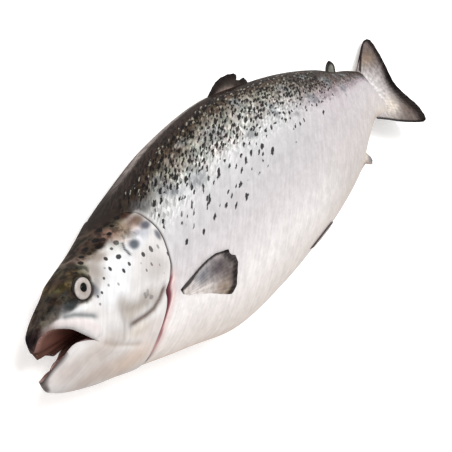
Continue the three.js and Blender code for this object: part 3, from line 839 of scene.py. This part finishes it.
def flowOf(outer):
    # the place on the skin as [along, down]: down is the way from the back's ridge round each row, and along
    # leans, so that spots and streaks lean towards the tail as they climb, more so near the ridge
    steps = np.linalg.norm(np.roll(outer, -1, axis=1) - outer, axis=-1)
    down = np.concatenate([np.zeros((len(steps), 1)), np.cumsum(steps, axis=1)[:, :-1]], axis=1)
    down = np.minimum(down, steps.sum(axis=1, keepdims=True) - down)
    along = outer[..., 0] + spotSpread["lean"] * down
    along = along + spotSpread["ridgeLean"] * (1 - np.exp(-down / spotSpread["ridgeReach"]))
    return np.stack([along, down, np.zeros_like(down)], -1)


def withLining(values, inner, poles):
    # the lining's rows, then the skin's, then the poles at the throat and at the tail's end
    kind = values.shape[2:]
    inner = np.broadcast_to(inner, (body["liningRows"], values.shape[1], *kind))
    rows = np.concatenate([inner, values]).reshape(-1, *kind)
    return np.concatenate([rows, np.broadcast_to(poles, (2, *kind))])


def makeSkin():
    lining, outer, degrees, wayIn = skinGrid()
    turns = turnFromBack(degrees)
    x, y = outer[..., 0], outer[..., 1]
    back, belly = backAt(x), bellyAt(x)
    height = np.clip((y - (back + belly) / 2) / ((back - belly) / 2), -1, 1)
    # the trunk's colours begin behind the gill cover, and a little further forward over the nape
    behind = x - gillEdgeAt(turns)
    onTrunk = smooth(-1, 8, behind + 14 * (1 - gillStrength(turns)) * smooth(60, 20, turns))
    # the painted sheen's share: a strip of painted highlight just past the ridge
    offRidge = outer[..., 2] - axisAt(x)
    sheenShare = smooth(*paintedSheen["nearEdge"], offRidge) * smooth(*paintedSheen["farEdge"], offRidge)
    sheenShare *= smooth(*paintedSheen["height"], height) * smooth(*paintedSheen["front"], x) * smooth(*paintedSheen["rear"], x)

    colour, headDark = paintHead(x, y)
    colour = mix(colour, paintTrunk(x, height, sheenShare), onTrunk[..., None])
    colour = paintCreases(x, y, behind, paintPlate(x, y, colour))
    colour = paintSlit(behind, turns, colour)
    # a dark ring painted round the eye's socket: painted shade where the eye sinks into the head
    socket = smooth(eye["socket"] + 0.9, eye["socket"] - 0.6, eyeDistance(x, y, degrees))
    colour = wash(colour, skinLook["socketShade"], skinLook["socketShadeStrength"] * socket)
    inside = paintLining(np.linspace(0, 360, body["aroundCount"], endpoint=False), wayIn)
    paint = withLining(colour, inside, 0) * skinLook["brightness"]
    # the two end points take their own paint: the throat's is painted shade
    paint[-2:] = skinLook["endShades"]

    spotField, spotInk = spotFieldOf(outer, behind)
    crowding, dense = crowdingOf(x, y, height, behind, turns, sheenShare)
    atX, atY, wide, tall = skinLook["nape"]
    nape = np.exp(-(((x - atX) / wide) ** 2 + ((y - atY) / tall) ** 2))
    mottle = mix(np.maximum(headDark, nape), 0.5 * dense * smooth(1, 0.93, height), onTrunk)
    throat = [mouth["throatX"], mouth["throatY"], axisAt(mouth["throatX"])]
    tailEnd = [body["stalkEnd"] + body["tailPole"], 0, axisAt(body["stalkEnd"])]
    skin = makePiece(
        "salmonSkin", withLining(onFloor(outer), onFloor(lining), [throat, tailEnd]),
        closedFaces(len(lining) + len(outer), body["aroundCount"]), skinMaterial(), "skin",
        paint=opaque(paint), flow=withLining(flowOf(outer), 0, 0), height=withLining(height, -1, -1),
        scaled=withLining(onTrunk * smooth(-2, 10, behind), 0, 0),
        speckle=withLining(crowding * onTrunk, 0, 0), mottle=withLining(mottle, 0, 0),
        spotField=withLining(spotField, farAway, farAway), spotInk=withLining(spotInk, 0, 0))
    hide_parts("salmon")


def spotMask(tree, flow, kind, crowding):
    # the places of one kind of spot, whose cells are shifted against those of the other kinds
    return useGroup(tree, spotGroup, flow=calcVector(tree, "ADD", flow, kind["shift"]), cell=kind["cell"],
                    wobble=kind["wobble"], size=kind["size"],
                    density=calc(tree, "MULTIPLY", crowding, kind["crowding"]))["Mask"]


def skinMaterial():
    look = skinLook
    material, tree, shader = startMaterial("salmonSkin", Coat_Weight=0.07, Coat_Roughness=0.2, IOR=1.4,
                                           Specular_IOR_Level=0.0)
    flow, onScales, speckle = read(tree, "flow", "Vector"), read(tree, "scaled"), read(tree, "speckle")
    height, mottle = read(tree, "height"), read(tree, "mottle")
    grain = useGroup(tree, grainGroup, scale=look["grainScale"])
    scales = useGroup(tree, scaleGroup, flow=flow, length=look["scaleLength"], height=look["scaleHeight"],
                      uneven=look["scaleUneven"])
    # each scale has its own tone, strongest on the dark back, and fine streaks run down the flank
    backShare = ease(tree, height, 0.35, 0.7)
    spread = calc(tree, "MULTIPLY", onScales, calc(tree, "MULTIPLY_ADD", backShare, 0.95, 0.07))
    tone = calc(tree, "MULTIPLY_ADD", calc(tree, "SUBTRACT", scales["Tone"], 0.45), spread, 1.0)
    streaked = calcVector(tree, "MULTIPLY", flow, look["streakStretch"])
    streak = addNoise(tree, streaked, 1.0, 2.0)["Fac"]
    tone = calc(tree, "MULTIPLY", tone, ease(tree, streak, 0.3, 0.7, *look["streakTones"]))
    blotch = useGroup(tree, grainGroup, scale=look["mottleScale"])["Tone"]
    patchy = ease(tree, blotch, 0.05, 0.95, *look["mottleTones"])
    patchy = put(tree, "ShaderNodeMix", {0: mottle, 2: 1.0, 3: patchy}, data_type="FLOAT").outputs[0]
    tone = calc(tree, "MULTIPLY", tone, patchy)
    tone = calc(tree, "MULTIPLY", tone, ease(tree, grain["Tone"], 0.0, 1.0, *look["grainTones"]))
    # the dark of the head wanders between a warm and an olive brown
    hue = useGroup(tree, grainGroup, scale=look["tintScale"])["Tone"]
    tint = blendColours(tree, hue, look["warmTint"], look["oliveTint"])
    tint = blendColours(tree, mottle, (1.0, 1.0, 1.0, 1.0), tint)
    toned = scaleColour(tree, calcVector(tree, "MULTIPLY", read(tree, "paint", "Color"), tint), tone)
    # painted glints, pale flecks that stand for light off single scales, and black spots over them: crowded
    # small ones on the back, sparser large ones down the shoulder and the head's own
    small = spotMask(tree, flow, spotKinds["small"], ease(tree, speckle, 0.2, 0.9))
    large = spotMask(tree, flow, spotKinds["large"], speckle)
    glint = spotMask(tree, flow, spotKinds["glint"], ease(tree, speckle, 0.4, 0.9))
    headField = calc(tree, "MULTIPLY_ADD", grain["Relief"], look["headSpotUneven"], read(tree, "spotField"))
    headSpot = calc(tree, "MULTIPLY", ease(tree, headField, *look["headSpotRim"]), read(tree, "spotInk"))
    spots = calc(tree, "MAXIMUM", calc(tree, "MAXIMUM", small, large), headSpot)
    pale, black = [(*(linear(look[key]) * look["brightness"]), 1.0) for key in ("glintPale", "spotBlack")]
    toned = blendColours(tree, calc(tree, "MULTIPLY", glint, look["glintStrength"]), toned, pale)
    colour = blendColours(tree, calc(tree, "MULTIPLY", spots, look["spotStrength"]), toned, black)
    tree.links.new(colour, shader["Base Color"])
    silver = calc(tree, "MULTIPLY", onScales, ease(tree, height, 0.75, 0.2, *look["metal"]))
    tree.links.new(silver, shader["Metallic"])
    tree.links.new(ease(tree, grain["Tone"], 0.0, 1.0, *look["roughness"]), shader["Roughness"])
    fine = calc(tree, "MULTIPLY", grain["Relief"], look["grainRelief"])
    relief = calc(tree, "MULTIPLY_ADD", calc(tree, "MULTIPLY", scales["Relief"], onScales),
                  look["scaleRelief"], fine)
    tree.links.new(addBump(tree, relief, look), shader["Normal"])
    return material


makeSkin()
print("skin made")


eyeball = {
    # the profile from the middle of the pupil out and round behind: [radius, height above the skin]
    "profile": [[0, 2.9], [1.6, 2.85], [2.8, 2.65], [3.4, 2.35], [3.9, 2.3], [4.6, 2.5], [6, 2.55],
                [7.4, 2.3], [8.6, 1.7], [9.4, 1.0], [10, 0.0], [10.2, -2.2], [8.6, -4.6], [5, -5.8],
                [0, -6.2]],
    "profileCount": 64, "roundCount": 96, "sink": 1.2, "brightness": 0.55,
    "pupil": (3.7, 3.9), "pupilRise": 1.2, "ring": 8.9,
    # the rim, the eyeball's edge beyond the ring and its back, is near black: painted shade where the eye
    # meets its socket
    "cream": (212, 202, 196), "creamInner": (196, 184, 176), "black": (8, 7, 8), "rim": (34, 30, 30),
    "grainScale": 260.0, "grainTones": (0.86, 1.08), "roughness": (0.16, 0.28),
    "bump": 0.15, "bumpDepth": 0.0004,
}


def makeEye(name, side, material):
    # the profile turned round the eye's axis, which leans forward and a little down from the flank
    profile = keyedPath(eyeball["profile"], eyeball["profileCount"])
    angle = np.linspace(0, 2 * np.pi, eyeball["roundCount"], endpoint=False)
    forward, down = np.radians(eye["leanForward"]), np.radians(eye["leanDown"])
    axis = np.array([-np.sin(forward), -np.cos(forward) * np.sin(down),
                     side * np.cos(forward) * np.cos(down)])
    along = np.cross([0, 1, 0], axis) * side
    along /= np.linalg.norm(along)
    upward = np.cross(axis, along) * side
    eyeY = eye["y"] - eye["rightDrop"] * (side < 0)
    centreZ = flankHeight(np.array([eye["x"]], float), np.array([eyeY], float), side)[0]
    centre = np.array([eye["x"], eyeY, centreZ]) - axis * (eyeball["sink"] + eye["rightSink"] * (side < 0))
    radius, rise = profile[1:-1, :1] + 0 * angle, profile[1:-1, 1:] + 0 * angle
    flatX, flatY = radius * np.cos(angle), radius * np.sin(angle)
    points = centre + flatX[..., None] * along + flatY[..., None] * upward + rise[..., None] * axis
    poles = centre + profile[[0, -1], 1][:, None] * axis

    pupilWide, pupilTall = eyeball["pupil"]
    inPupil = smooth(1.05, 0.92, np.hypot(flatX / pupilWide, (flatY - eyeball["pupilRise"]) / pupilTall))
    inRing = smooth(eyeball["ring"] + 0.7, eyeball["ring"] - 0.3, radius)
    cream = mix(linear(eyeball["creamInner"]), linear(eyeball["cream"]), smooth(3.5, 7, radius)[..., None])
    # outside the ring the eyeball takes the rim's near black, painted shade at the socket's edge
    colour = mix(linear(eyeball["rim"]), cream, (inRing * (rise > -1))[..., None])
    colour = wash(colour, eyeball["black"], inPupil * (rise > 1))
    paint = np.concatenate([colour.reshape(-1, 3), [linear(eyeball["black"])], [linear(eyeball["rim"])]])
    points = np.concatenate([points.reshape(-1, 3), poles])
    makePiece(name, points, closedFaces(*radius.shape, flip=side > 0), material, "eye",
              paint=opaque(paint * eyeball["brightness"]))


def keyedPath(points, count):
    # a Catmull-Rom path through the points, sampled evenly in its own parameter
    points = np.array(points, float)
    place = np.linspace(0, len(points) - 1, count)
    i = np.minimum(place.astype(int), len(points) - 2)
    t = (place - i)[:, None]
    p0, p1 = points[np.maximum(i - 1, 0)], points[i]
    p2, p3 = points[i + 1], points[np.minimum(i + 2, len(points) - 1)]
    v0, v1 = (p2 - p0) / 2, (p3 - p1) / 2
    return (2 * p1 - 2 * p2 + v0 + v1) * t ** 3 + (-3 * p1 + 3 * p2 - 2 * v0 - v1) * t ** 2 + v0 * t + p1


eyeSkin = wetMaterial("salmonEye", eyeball, Coat_Weight=0.2, Coat_Roughness=0.05, IOR=1.38,
                      Specular_IOR_Level=0.05)
makeEye("eyeLeft", 1, eyeSkin)
makeEye("eyeRight", -1, eyeSkin)
print("eyes made")


finLook = {
    "alongCount": 168, "outCount": 64, "brightness": 0.68,
    "dark": (40, 34, 34), "middle": (128, 116, 112), "pale": (216, 206, 199),
    "thickness": (4.5, 0.7), "rays": 13, "scallop": 0.03, "rootPale": 0.3, "washes": [], "bands": [],
    # between rays the plate is this much of its thickness; its rims round off over these shares of its reach
    "betweenRays": 0.72, "sideRim": 0.03, "rootRim": 0.03, "marginRim": 0.05, "wave": 0.35,
    "grainScale": 170.0, "grainTones": (0.8, 1.15), "roughness": (0.36, 0.5),
    "bump": 0.35, "bumpDepth": 0.0004,
}
tailMargin = [[722, 31], [750, 46.5], [775, 57.5], [790, 59.5], [799, 56], [800.5, 47], [796, 27], [788, 7],
              [784, -5], [786, -17], [793, -32], [800, -45], [801, -58], [797, -66.5], [784, -67],
              [757, -58], [731, -47.5], [708, -36.5], [688, -28]]
breastMargin = [[170, -16], [178, -14.4], [190, -13], [203, -12.9], [213, -15], [222, -17.2], [223, -22.3],
                [228.5, -26], [229, -33], [224, -41], [218.5, -50], [213, -55.5], [205.5, -58.2],
                [192, -53.5]]
bellyFin = {
    "base": [[385, -83], [397, -86]], "margin": [[430, -79], [452, -78], [458, -81], [450, -85], [432, -88]],
    "thickness": (3.5, 0.6), "rays": 9, "middle": (196, 182, 182),
    "bands": [[[[385, -83], [430, -79], [452, -78], [458, -81]], 3]],
}
# What a fin doesn't name is as in finLook. Its height is z over the side view, and its washes are ovals of
# [x, y, radius along, radius down, colour, strength]. A band is dark: a path in the side view and its width.
fins = {
    "tailFin": {
        "base": [[700, 30], [704, 8], [700, -10], [682, -19]], "margin": tailMargin,
        "height": lambda x, y, out: -16 - 0.3 * y, "thickness": (5.5, 0.7), "rays": 22, "scallop": 0.012,
        "rootPale": 0.0, "middle": (118, 106, 101), "dark": (18, 14, 14),
        "washes": [[752, 38, 24, 9, (150, 128, 108), 0.9], [758, 14, 20, 12, (166, 160, 160), 0.7],
                   [706, -2, 44, 32, (226, 218, 218), 1.0], [714, 2, 34, 26, (222, 216, 216), 1.0],
                   [718, -4, 26, 20, (232, 226, 226), 0.9],
                   [738, -26, 18, 11, (240, 228, 215), 0.95], [708, 32, 14, 7, (128, 114, 106), 0.8],
                   [770, -40, 16, 9, (124, 108, 101), 0.7], [716, 11, 20, 13, (226, 222, 222), 1.0]],
        "bands": [[tailMargin[4:9], 17], [tailMargin[8:14], 27], [tailMargin[:5], 2.6],
                  [tailMargin[13:], 4.0]],
    },
    "backFin": {
        "base": [[342, 94], [380, 92], [427, 87]],
        "margin": [[346, 105], [353, 108.5], [363, 112], [376, 114.5], [390, 115.5], [402, 114.5],
                   [411, 111.5], [410.5, 108], [407, 106], [414, 104], [424, 104], [429.5, 100], [431, 96]],
        "height": lambda x, y, out: axisAt(x) + 1.5 * out * np.sin(x / 9),
        "rootPale": 0.42, "pale": (176, 156, 149), "middle": (60, 53, 49),
        "bands": [[[[346, 105], [363, 112], [390, 115.5], [411, 111.5]], 7],
                  [[[342, 94], [346, 105]], 6], [[[414, 104], [429.5, 100], [431, 96]], 5]],
    },
    "fattyFin": {
        "base": [[608, 50], [630, 44]],
        "margin": [[617, 57], [625, 63.5], [634, 66.5], [640, 64], [644, 58], [640, 49]],
        "height": lambda x, y, out: axisAt(x), "thickness": (4.0, 1.2), "rays": 3, "scallop": 0.0,
        "rootPale": 0.2, "middle": (128, 128, 120),
        "bands": [[[[611, 52], [617, 57], [625, 63.5], [634, 66.5]], 6],
                  [[[634, 66.5], [640, 64], [644, 58], [640, 49]], 5]],
    },
    "ventFin": {
        "base": [[622, -38], [562, -58]],
        "margin": [[632, -46], [645, -58], [651.5, -66], [651.5, -70.5], [645, -73], [637, -69],
                   [628, -66.5], [612, -69], [596, -71.5], [582, -71]],
        "height": lambda x, y, out: axisAt(x), "rays": 10,
        "rootPale": 0.75, "pale": (232, 220, 208), "middle": (214, 202, 194),
        "washes": [[650, -67, 10, 9, (138, 140, 144), 1.0], [630, -68, 11, 4, (128, 106, 92), 0.85]],
    },
    "breastFinLeft": {
        "base": [[146.5, -21.5], [147, -27], [150, -33]], "margin": breastMargin,
        # its lower side runs into the flank
        "height": lambda x, y, out: flankHeight(x, y, 1) - 1.9 + (1.5 + 2.8 * out) * smooth(
            0, 13, y + 33 + 0.454 * (x - 150)),
        "thickness": (4.0, 0.6), "scallop": 0.012,
        "rootPale": 0.0, "middle": (230, 220, 216), "dark": (26, 21, 21),
        "washes": [[178, -23, 18, 9, (134, 136, 142), 0.95], [202, -26, 22, 14, (84, 76, 81), 0.97],
                   [214, -38, 14, 13, (84, 74, 72), 0.9], [197, -44, 13, 7, (142, 122, 104), 0.9],
                   [206, -53, 9, 6, (128, 112, 86), 0.95], [166, -40, 22, 9, (226, 217, 211), 0.7]],
        "bands": [[[[146.5, -21.5], [157, -20.3], [163, -18.6], *breastMargin[:6]], 3.0],
                  [[[220, -16.5], *breastMargin[6:12]], 11], [[[146.5, -21.5], [146.5, -26]], 3.4]],
    },
    "breastFinRight": {
        "base": [[146, -38], [150, -47]],
        "margin": [[205, -58], [222, -62], [226, -72], [216, -80], [203, -82], [186, -74]],
        "height": lambda x, y, out: flankHeight(x, y, -1) - 0.2 - 1.6 * out, "thickness": (4.0, 0.6),
        "rootPale": 0.2, "bands": [[[[146, -38], [205, -58], [222, -62]], 4],
                                   [[[222, -62], [226, -72], [216, -80], [203, -82]], 7]],
    },
    "bellyFinLeft": {**bellyFin, "height": lambda x, y, out: flankHeight(x, y, 1) + 0.3 + 1.6 * out},
    "bellyFinRight": {**bellyFin, "height": lambda x, y, out: flankHeight(x, y, -1) - 0.3 - 1.2 * out},
}


def makeFin(name, fin, material):
    # a plate ruled from its base path to its margin; soft rays fan over both faces and fork near the margin
    alongCount, outCount, rays = fin["alongCount"], fin["outCount"], fin["rays"]
    u = np.linspace(0, 1, alongCount)[:, None]
    out = np.linspace(0, 1, outCount)[None, :]
    notch = np.abs(np.sin(np.pi * rays * u)) ** 0.5 * smooth(0.0, 0.08, u) * smooth(1, 0.92, u)
    base, margin = keyedPath(fin["base"], alongCount), keyedPath(fin["margin"], alongCount)
    reach = out * (1 - fin["scallop"] * notch)
    plan = base[:, None, :] + (margin - base)[:, None, :] * reach[..., None]
    x, y = plan[..., 0], plan[..., 1]
    ridge = np.abs(np.cos(np.pi * rays * u)) ** 0.7
    forked = np.abs(np.cos(2 * np.pi * rays * u)) ** 0.7
    ray = mix(ridge, forked, smooth(0.45, 0.75, out))
    # the plate closes at its rims by the sine of sqrt(share) * 90 degrees
    inward = np.minimum(np.minimum(u, 1 - u) / fin["sideRim"],
                        np.minimum(out / fin["rootRim"], (1 - out) / fin["marginRim"]))
    rim = np.sin(np.sqrt(np.clip(inward, 0, 1)) * np.pi / 2)
    half = mix(*fin["thickness"], out ** 0.6) / 2
    half = half * mix(fin["betweenRays"], 1, ray * smooth(0, 0.12, out))
    middle = fin["height"](x, y, out) + fin["wave"] * np.sin(5 * u + 4 * out) * out
    top = np.stack([x, y, middle + half * rim], -1)
    under = np.stack([x, y, middle - half * rim], -1)

    # pale at the root, then each wash by exp(-distance squared) in its own radii, and the bands, which fade
    # from 0.42 to 1.12 of their width
    root = smooth(fin["rootPale"] + 0.25, fin["rootPale"] - 0.2, out + 0 * u)
    colour = mix(linear(fin["middle"]), linear(fin["pale"]), root[..., None])
    for atX, atY, wide, tall, tint, strength in fin["washes"]:
        away = ((x - atX) / wide) ** 2 + ((y - atY) / tall) ** 2
        colour = wash(colour, tint, strength * np.exp(-away))
    colour = colour * mix(0.88, 1.08, ray)[..., None]
    for path, width in fin["bands"]:
        away = nearPath(x, y, path)[0] + 0.08 * width * ripple(x, y, 7, 4)
        band = smooth(1.12 * width, 0.42 * width, away) * mix(0.97, 0.88, ray)
        colour = wash(colour, fin["dark"], band)
    paint = opaque(colour * fin["brightness"])

    # the two faces share their rim, so only the under face's inner points are new
    upper = np.arange(alongCount * outCount).reshape(alongCount, outCount)
    lower = upper.copy()
    inner = np.arange((alongCount - 2) * (outCount - 2)).reshape(alongCount - 2, outCount - 2)
    lower[1:-1, 1:-1] = upper.size + inner
    quads = [np.stack([grid[:-1, :-1], grid[1:, :-1], grid[1:, 1:], grid[:-1, 1:]], -1).reshape(-1, 4)
             for grid in (upper, lower)]
    faces = np.concatenate([quads[0], quads[1][:, ::-1]])
    # the path's direction decides which way the faces wind: the upper face has to look up
    i, j = alongCount // 4, outCount // 2
    normal = np.cross(top[i, j] - top[i + 1, j], top[i, j + 1] - top[i, j])
    if normal[2] > 0:
        faces = faces[:, ::-1]
    points = onFloor(np.concatenate([top.reshape(-1, 3), under[1:-1, 1:-1].reshape(-1, 3)]))
    paints = np.concatenate([paint.reshape(-1, 4), paint[1:-1, 1:-1].reshape(-1, 4)])
    makePiece(name, points, faces.tolist(), material, "fins", paint=paints)


finSkin = wetMaterial("finMembrane", finLook, Coat_Weight=0.05, Coat_Roughness=0.2, Specular_IOR_Level=0.0)
for name, fin in fins.items():
    makeFin(name, {**finLook, **fin}, finSkin)
print("fins made")


tongueShape = {"from": 10, "to": 64, "y": -20.5, "halfWidth": 7, "halfHeight": 2.6, "frontWidth": 0.75,
               "rowCount": 40, "roundCount": 32, "colour": (150, 108, 100)}
# Teeth along each jaw, as [first angle, last angle, how many]
teethShape = {"length": 1.1, "lengths": (0.7, 1.15), "radius": 0.34, "leanBack": 0.45, "leanIn": 0.25,
              "upper": (14, 92, 13), "lower": (118, 168, 11), "wayIn": 0.035, "rootDepth": 1.0,
              "sunk": 0.5, "taper": 0.8, "ringCount": 5, "roundCount": 8, "colour": (160, 132, 118)}
fleshLook = {"grainScale": 220.0, "grainTones": (0.84, 1.1), "roughness": (0.3, 0.42), "bump": 0.4,
             "bumpDepth": 0.0005}


def makeTongue(material):
    # a rod along the floor of the mouth: its half width and height shrink by sqrt(1 - |2 * way - 1| ** 3)
    shape = tongueShape
    way = np.linspace(0, 1, shape["rowCount"])[:, None]
    angle = np.linspace(0, 2 * np.pi, shape["roundCount"], endpoint=False)[None, :]
    full = np.sqrt(np.clip(1 - np.abs(2 * way - 1) ** 3, 0.002, 1))
    x = mix(shape["from"], shape["to"], way) + 0 * angle
    y = shape["y"] + shape["halfHeight"] * full * np.cos(angle)
    z = axisAt(x) + shape["halfWidth"] * full * np.sin(angle) * mix(shape["frontWidth"], 1, way)
    points = np.stack([x, y, z], -1)
    allPoints = np.concatenate([points.reshape(-1, 3), points[[0, -1]].mean(axis=1)])
    paint = np.tile(linear(shape["colour"]), (len(allPoints), 1))
    makePiece("tongue", allPoints, closedFaces(*x.shape), material, "mouth", paint=opaque(paint))


def makeTeeth(material):
    # small cones along both jaws, leaning back into the mouth: the radius shrinks by (1 - share) ** taper
    shape = teethShape
    upper, lower = np.linspace(*shape["upper"]), np.linspace(*shape["lower"])
    turns = np.concatenate([upper, 360 - upper, lower, 360 - lower])
    foot = liningPoint(shape["wayIn"], turns)
    down = np.where(turnFromBack(turns) < mouth["cornerAngle"], -1.0, 1.0)
    long = shape["length"] * np.random.default_rng(11).uniform(*shape["lengths"], len(turns))
    side = np.where(turns < 180, 1, -1)
    lean = np.stack([shape["leanBack"] * np.ones_like(down), down, -shape["leanIn"] * side], -1)
    lean /= np.linalg.norm(lean, axis=-1, keepdims=True)
    share = np.linspace(0, 1, shape["ringCount"], endpoint=False)
    angle = np.linspace(0, 2 * np.pi, shape["roundCount"], endpoint=False)
    centre = foot[:, None] + lean[:, None] * (share[None, :, None] * long[:, None, None] - shape["sunk"])
    radius = shape["radius"] * (1 - share) ** shape["taper"]
    flat = np.stack([np.cos(angle), np.zeros_like(angle), np.sin(angle)], -1)
    rings = centre[:, :, None] + radius[None, :, None, None] * flat[None, None]
    roots, tips = foot - lean * shape["rootDepth"], foot + lean * long[:, None]
    points = np.concatenate([rings.reshape(len(turns), -1, 3), roots[:, None], tips[:, None]], axis=1)
    faces = []
    for i, isLower in enumerate(down > 0):
        faces += closedFaces(shape["ringCount"], shape["roundCount"], isLower, i * points.shape[1])
    points = points.reshape(-1, 3)
    paint = np.tile(linear(shape["colour"]), (len(points), 1))
    makePiece("teeth", points, faces, material, "mouth", paint=opaque(paint))


flesh = wetMaterial("mouthFlesh", fleshLook, Coat_Weight=0.2, Coat_Roughness=0.15, Specular_IOR_Level=0.3)
makeTongue(flesh)
makeTeeth(flesh)
print("mouth filled")


# The floor is a pale sweep that glows a little, so the shadows stay faint; lights are square, in metres
stageLook = {
    "floorHalf": 6.0, "floorColour": (0.95, 0.945, 0.94, 1.0), "floorRoughness": 0.8,
    "floorGlow": (1.0, 0.99, 0.985, 1.0), "glowStrength": 0.24, "roomBrightness": 0.75,
    "lights": {
        "keyLight": {"place": (-0.35, 0.95, 1.85), "size": 1.2, "power": 41, "colour": (1.0, 0.99, 0.975)},
        "frontLight": {"place": (-1.8, 0.25, 0.8), "size": 0.8, "power": 6, "colour": (1.0, 0.99, 0.98)},
    },
}


def makeFloor():
    mesh = bpy.data.meshes.new("floor")
    half = stageLook["floorHalf"]
    corners = [(-half, -half, 0), (half, -half, 0), (half, half, 0), (-half, half, 0)]
    mesh.from_pydata(corners, [], [(0, 1, 2, 3)])
    mesh.materials.append(startMaterial(
        "paleFloor", Base_Color=stageLook["floorColour"], Roughness=stageLook["floorRoughness"],
        Emission_Color=stageLook["floorGlow"], Emission_Strength=stageLook["glowStrength"])[0])
    floor = bpy.data.objects.new("floor", mesh)
    bpy.context.scene.collection.objects.link(floor)


def makeCamera():
    data = bpy.data.cameras.new("camera")
    data.lens, data.sensor_width = cameraPlace["lens"], 36
    data.clip_start, data.clip_end = 0.01, 50
    camera = bpy.data.objects.new("camera", data)
    bpy.context.scene.collection.objects.link(camera)
    place, lookAt = Vector(cameraPlace["place"]), Vector(cameraPlace["lookAt"])
    level = (lookAt - place).to_track_quat("-Z", "Y").to_matrix()
    turned = level @ Matrix.Rotation(np.radians(cameraPlace["roll"]), 3, "Z")
    camera.matrix_world = Matrix.Translation(place) @ turned.to_4x4()
    bpy.context.scene.camera = camera


def addLight(name, look):
    data = bpy.data.lights.new(name, "AREA")
    data.shape, data.size, data.energy, data.color = "SQUARE", look["size"], look["power"], look["colour"]
    light = bpy.data.objects.new(name, data)
    bpy.context.scene.collection.objects.link(light)
    # it shines at the middle of the fish
    light.location = look["place"]
    light.rotation_mode = "QUATERNION"
    light.rotation_quaternion = (-Vector(look["place"])).to_track_quat("-Z", "Y")


def lightStage():
    world = bpy.data.worlds.new("paleRoom")
    world.use_nodes = True
    background = world.node_tree.nodes["Background"].inputs
    background["Color"].default_value = (1.0, 1.0, 1.0, 1.0)
    background["Strength"].default_value = stageLook["roomBrightness"]
    bpy.context.scene.world = world
    bpy.context.scene.view_settings.view_transform = "Standard"
    for name, look in stageLook["lights"].items():
        addLight(name, look)


makeFloor()
makeCamera()
lightStage()
print("stage set")
